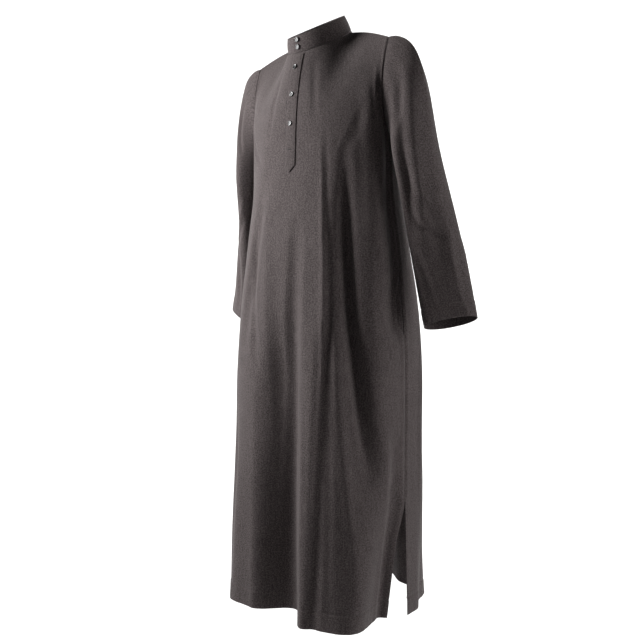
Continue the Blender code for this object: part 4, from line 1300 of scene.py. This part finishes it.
class ROBE_OT_placket(bpy.types.Operator):
    """Make the button placket with its stitching and bar tack"""

    bl_idname = "robe.placket"
    bl_label = "Placket"

    def execute(self, context):
        sizes = context.scene.robe_sizes
        grid, way = placket_surface(sizes)
        piece = cloth_piece("placket_cloth", grid, -way, sizes, "placket")
        left, foot = 1.8, 3.0
        right = grid.shape[1] - 1 - left
        down = np.linspace(grid.shape[0] - 2.0, foot, 400)
        cols = np.concatenate([np.full(400, left), np.linspace(left, right, 40), np.full(400, right)])
        rows = np.concatenate([down, np.full(40, foot), down[::-1]])
        stitch_piece("placket_stitches", [stitch_row(grid, way, rows, cols, sizes)])
        x = np.linspace(-0.5, 0.5, 12) * BAR_TACK_LENGTH
        point, out = front_point(sizes, x, 0.0 * x + BAR_TACK_Z)
        line = point + out * (sizes.cloth + 2 * SEAM_GAP + BAR_TACK_RISE)
        points, faces = thread_bar(line, out[len(out) // 2], BAR_TACK_RADIUS)
        tack = new_piece("placket_bar_tack", points, faces, thread_material())
        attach(tack, "root")
        return {"FINISHED"}


def turned_button(centre, way, sizes):
    """A button: a turned profile with a raised rim, and four dimpled holes.

    The face's height is the profile's at each radius, less a bell at each hole.
    """
    way = unit(way)
    side = unit(np.cross(way, [0.0, 0.0, 1.0]))
    over = np.cross(side, way)
    radius = 0.5 * sizes.button
    dish = np.stack([np.linspace(DISH_RADIUS, 0.0, 12), np.full(12, DISH_HEIGHT)], axis=-1)
    outline = np.concatenate([BUTTON_RIM, dish])
    turn = np.linspace(0, 2 * np.pi, 40, endpoint=False)
    reach = np.maximum(outline[:, :1], 1e-4)
    x, y = reach * np.cos(turn), reach * np.sin(turn)
    height = np.repeat(outline[:, 1:], len(turn), axis=1)
    face = np.arange(len(outline))[:, None] >= len(BUTTON_RIM) - 1
    for hole_x in (-HOLE_OFFSET, HOLE_OFFSET):
        for hole_y in (-HOLE_OFFSET, HOLE_OFFSET):
            from_hole = ((x - hole_x) ** 2 + (y - hole_y) ** 2) / HOLE_RADIUS**2
            height = height - np.where(face, HOLE_DEPTH * np.exp(-from_hole), 0.0)
    points = (centre + radius * (x[..., None] * side + y[..., None] * over)
              + sizes.button_thick * height[..., None] * way)
    faces = quads(point_numbers(*points.shape[:2], closed=True))
    return points.reshape(-1, 3), faces[:, (0, 3, 2, 1)]


def button_thread(centre, way, sizes):
    """Two short bars of thread across the holes."""
    way = unit(way)
    side = unit(np.cross(way, [0.0, 0.0, 1.0]))
    over = np.cross(side, way)
    runs = []
    for offset in (-0.1, 0.1):
        start = centre + sizes.button * (offset * side - 0.10 * over) + way * sizes.button_thick * 0.70
        end = start + sizes.button * 0.20 * over
        line = np.linspace(start, end, 12)
        runs.append(thread_bar(line, way, 0.5 * sizes.thread))
    return join_runs(runs)


def thread_bar(line, way, radius):
    """A round thread along a line, eight sides, drawn in at both ends."""
    ahead = unit(line[-1] - line[0])
    side = np.cross(ahead, way)
    turn = np.linspace(0, 2 * np.pi, 8, endpoint=False)
    share = np.linspace(0.0, 1.0, len(line))[:, None]
    swell = radius * np.sqrt(np.maximum(1 - np.abs(2 * share - 1) ** 4, 0.02))
    points = (line[:, None] + (swell * np.cos(turn))[..., None] * side
              + (swell * np.sin(turn))[..., None] * way)
    return points.reshape(-1, 3), quads(point_numbers(*points.shape[:2], closed=True))


def button_places(sizes):
    """Name, centre and outward way of each button, on the placket and on the band."""
    places = []
    for number, z in enumerate(PLACKET_BUTTON_Z):
        point, way = front_point(sizes, np.array([0.0]), np.array([z]))
        stand_off = sizes.cloth + 3 * SEAM_GAP
        places.append((f"button_placket_{number + 1}", point[0] + way[0] * stand_off, way[0]))
    for number, rise in enumerate(BAND_BUTTON_RISE):
        point = band_ring(np.array([0.0]), rise / sizes.band_height, rise)[0]
        way = unit([0.0, -1.0, -0.14])
        places.append((f"button_collar_{number + 1}", point + way * 4 * SEAM_GAP, way))
    return places


class ROBE_OT_buttons(bpy.types.Operator):
    """Make the five buttons, sewn on with thread"""

    bl_idname = "robe.buttons"
    bl_label = "Buttons"

    def execute(self, context):
        sizes = context.scene.robe_sizes
        for name, centre, way in button_places(sizes):
            points, faces = turned_button(centre, way, sizes)
            piece = new_piece(f"{name}_turned", points, faces, button_material(), 50.0)
            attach(piece, "root")
            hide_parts(name)
            points, faces = button_thread(centre, way, sizes)
            thread = new_piece(f"{name}_thread", points, faces, thread_material())
            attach(thread, "root")
        return {"FINISHED"}


class ROBE_OT_pockets(bpy.types.Operator):
    """Make the bag wall behind each side seam pocket mouth"""

    bl_idname = "robe.pockets"
    bl_label = "Pockets"

    def execute(self, context):
        sizes = context.scene.robe_sizes
        z = np.linspace(POCKET_BOTTOM_Z - 0.02, POCKET_TOP_Z + 0.01, 40)
        way_in = np.linspace(0.0, 1.0, 34)
        reach = sizes.cloth + (POCKET_DEEP - sizes.cloth) * way_in
        length = section_rows(z, True, np.ones((len(z), 1)))[1]
        grid, _ = section_rows(z, True, 1 - reach[None] / length)
        deep = ramp(way_in, 0.0, 0.35)[None, :, None]
        grid = grid + normals(grid) * (sizes.cloth + 1.5 * SEAM_GAP + POCKET_STAND_OFF * deep)
        for name, is_left in (("left_pocket", True), ("right_pocket", False)):
            side = grid[:, ::-1] if is_left else grid * np.array([-1.0, 1.0, 1.0])
            piece = cloth_piece(f"{name}_cloth", side, -normals(side), sizes, name)
        return {"FINISHED"}


class ROBE_OT_stitching(bpy.types.Operator):
    """Make the hem and vent stitches of both panels"""

    bl_idname = "robe.stitching"
    bl_label = "Panel stitching"

    def execute(self, context):
        sizes = context.scene.robe_sizes
        for is_front in (True, False):
            grid, rows, u = panel_faces(sizes, is_front)
            way = normals(grid) * (1.0 if is_front else -1.0)
            count = np.arange(len(rows))
            hem_row = np.interp(sizes.hem / (UNDERARM_Z - HEM_Z) * BASE_LOWER, rows, count)
            col = np.linspace(1.0, grid.shape[1] - 2.0, 900)
            runs = [stitch_row(grid, way, hem_row, col, sizes)]
            vent = np.interp((VENT_TOP_Z - HEM_Z) / (UNDERARM_Z - HEM_Z) * BASE_LOWER, rows, count)
            row = np.linspace(1.0, vent, 300)
            for side in (-1.0, 1.0):
                edge = np.interp(side * (1 - VENT_FACING / HALF_PANEL), u, np.arange(len(u)))
                runs.append(stitch_row(grid, way, row, edge, sizes))
            stitch_piece("front_stitches" if is_front else "back_stitches", runs)
        return {"FINISHED"}


def studio_sheet(width, depth, height, curve, floor_z):
    """Floor and backdrop in one: a flat run, a quarter circle and an upright run."""
    flat = np.stack([np.linspace(-depth, 0.0, 12), np.zeros(12)], axis=-1)
    turn = np.linspace(0, 0.5 * np.pi, 24)[1:]
    round_part = np.stack([curve * np.sin(turn), curve * (1 - np.cos(turn))], axis=-1)
    upright = np.stack([np.full(8, curve), curve + np.linspace(0.1, height, 8)], axis=-1)
    profile = np.concatenate([flat, round_part, upright])
    x = np.linspace(-width, width, 9)
    grid = np.empty((len(profile), len(x), 3))
    grid[..., 0] = x[None]
    grid[..., 1] = profile[:, :1]
    grid[..., 2] = profile[:, 1:] + floor_z
    return grid


def add_paper(right, front):
    """The floor and backdrop behind the robe, square to the camera."""
    grid = studio_sheet(7.0, 9.0, 6.0, 1.5, FLOOR_Z)
    grid = (grid[..., :1] * right - (grid[..., 1:2] + PAPER_BEHIND) * front
            + grid[..., 2:] * np.array([0.0, 0.0, 1.0]))
    faces = quads(point_numbers(*grid.shape[:2]))
    floor = new_piece("studio_sheet", grid.reshape(-1, 3), faces, stage_material())


def look_angles(way):
    """Turns that point a lamp's -Z along a direction."""
    return (math.acos(-way[2]), 0.0, math.atan2(-way[0], way[1]))


def add_lamp(name, spot, aim, size_x, size_y, power):
    """One soft rectangular lamp at a spot, turned to another."""
    light = bpy.data.lights.new(name, "AREA")
    light.shape = "RECTANGLE"
    light.size, light.size_y, light.energy = size_x, size_y, power
    lamp = bpy.data.objects.new(name, light)
    lamp.location = spot
    lamp.rotation_euler = look_angles(unit(aim - spot))
    bpy.context.collection.objects.link(lamp)


def add_air():
    """An even white light from all round."""
    world = bpy.data.worlds.new("studio_air")
    world.use_nodes = True
    background = world.node_tree.nodes["Background"]
    background.inputs["Color"].default_value = (1.0, 1.0, 1.0, 1.0)
    background.inputs["Strength"].default_value = AIR_LIGHT
    bpy.context.scene.world = world
    bpy.context.scene.view_settings.view_transform = "Standard"


def add_camera(turn, front):
    """The camera, with the fitted place, lens and shift."""
    lens = bpy.data.cameras.new("photo_camera")
    lens.sensor_width = SENSOR
    lens.lens = SENSOR * FOCAL_PIXELS / IMAGE_SIDE
    lens.shift_x = (0.5 * IMAGE_SIDE - AXIS_COLUMN) / IMAGE_SIDE
    lens.shift_y = -(0.5 * IMAGE_SIDE - HORIZON_ROW) / IMAGE_SIDE
    camera = bpy.data.objects.new("photo_camera", lens)
    camera.location = front * VIEW_DISTANCE + np.array([0.0, 0.0, VIEW_HEIGHT])
    camera.rotation_euler = (math.radians(90), 0.0, turn)
    bpy.context.collection.objects.link(camera)
    bpy.context.scene.camera = camera


class ROBE_OT_stage(bpy.types.Operator):
    """Make the paper floor and backdrop, the lights and the camera"""

    bl_idname = "robe.stage"
    bl_label = "Stage"

    def execute(self, context):
        turn = math.radians(VIEW_AZIMUTH)
        right = np.array([math.cos(turn), math.sin(turn), 0.0])
        front = np.array([math.sin(turn), -math.cos(turn), 0.0])
        add_paper(right, front)
        for name, to_right, to_front, up, size_x, size_y, power in LAMPS:
            spot = ROBE_MIDDLE + right * to_right + front * to_front + np.array([0, 0, up])
            behind = ROBE_MIDDLE + right * WASH_SPREAD * to_right - front * WASH_BEHIND
            aim = ROBE_MIDDLE if "box" in name else behind
            add_lamp(name, spot, aim, size_x, size_y, power)
        add_air()
        add_camera(turn, front)
        return {"FINISHED"}


class ROBE_PT_sidebar(bpy.types.Panel):
    """Robe pieces and their sizes"""

    bl_label = "Robe"
    bl_idname = "ROBE_PT_sidebar"
    bl_space_type = "VIEW_3D"
    bl_region_type = "UI"
    bl_category = "Robe"

    def draw(self, context):
        for operator in OPERATORS:
            self.layout.operator(operator.bl_idname)
        for group in (context.scene.robe_sizes, context.scene.robe_colours):
            box = self.layout.box()
            for name in group.__annotations__:
                box.prop(group, name)


OPERATORS = (ROBE_OT_panels, ROBE_OT_stitching, ROBE_OT_sleeves, ROBE_OT_band, ROBE_OT_placket,
             ROBE_OT_buttons, ROBE_OT_pockets, ROBE_OT_stage)
CLASSES = (RobeSizes, RobeColours, *OPERATORS, ROBE_PT_sidebar)


def register():
    for each in CLASSES:
        bpy.utils.register_class(each)
    bpy.types.Scene.robe_sizes = PointerProperty(type=RobeSizes)
    bpy.types.Scene.robe_colours = PointerProperty(type=RobeColours)


def unregister():
    del bpy.types.Scene.robe_colours
    del bpy.types.Scene.robe_sizes
    for each in reversed(CLASSES):
        bpy.utils.unregister_class(each)


def main():
    register()
    bpy.ops.robe.panels()
    bpy.ops.robe.stitching()
    bpy.ops.robe.sleeves()
    bpy.ops.robe.band()
    bpy.ops.robe.placket()
    bpy.ops.robe.buttons()
    bpy.ops.robe.pockets()
    bpy.ops.robe.stage()


if __name__ == "__main__":
    main()
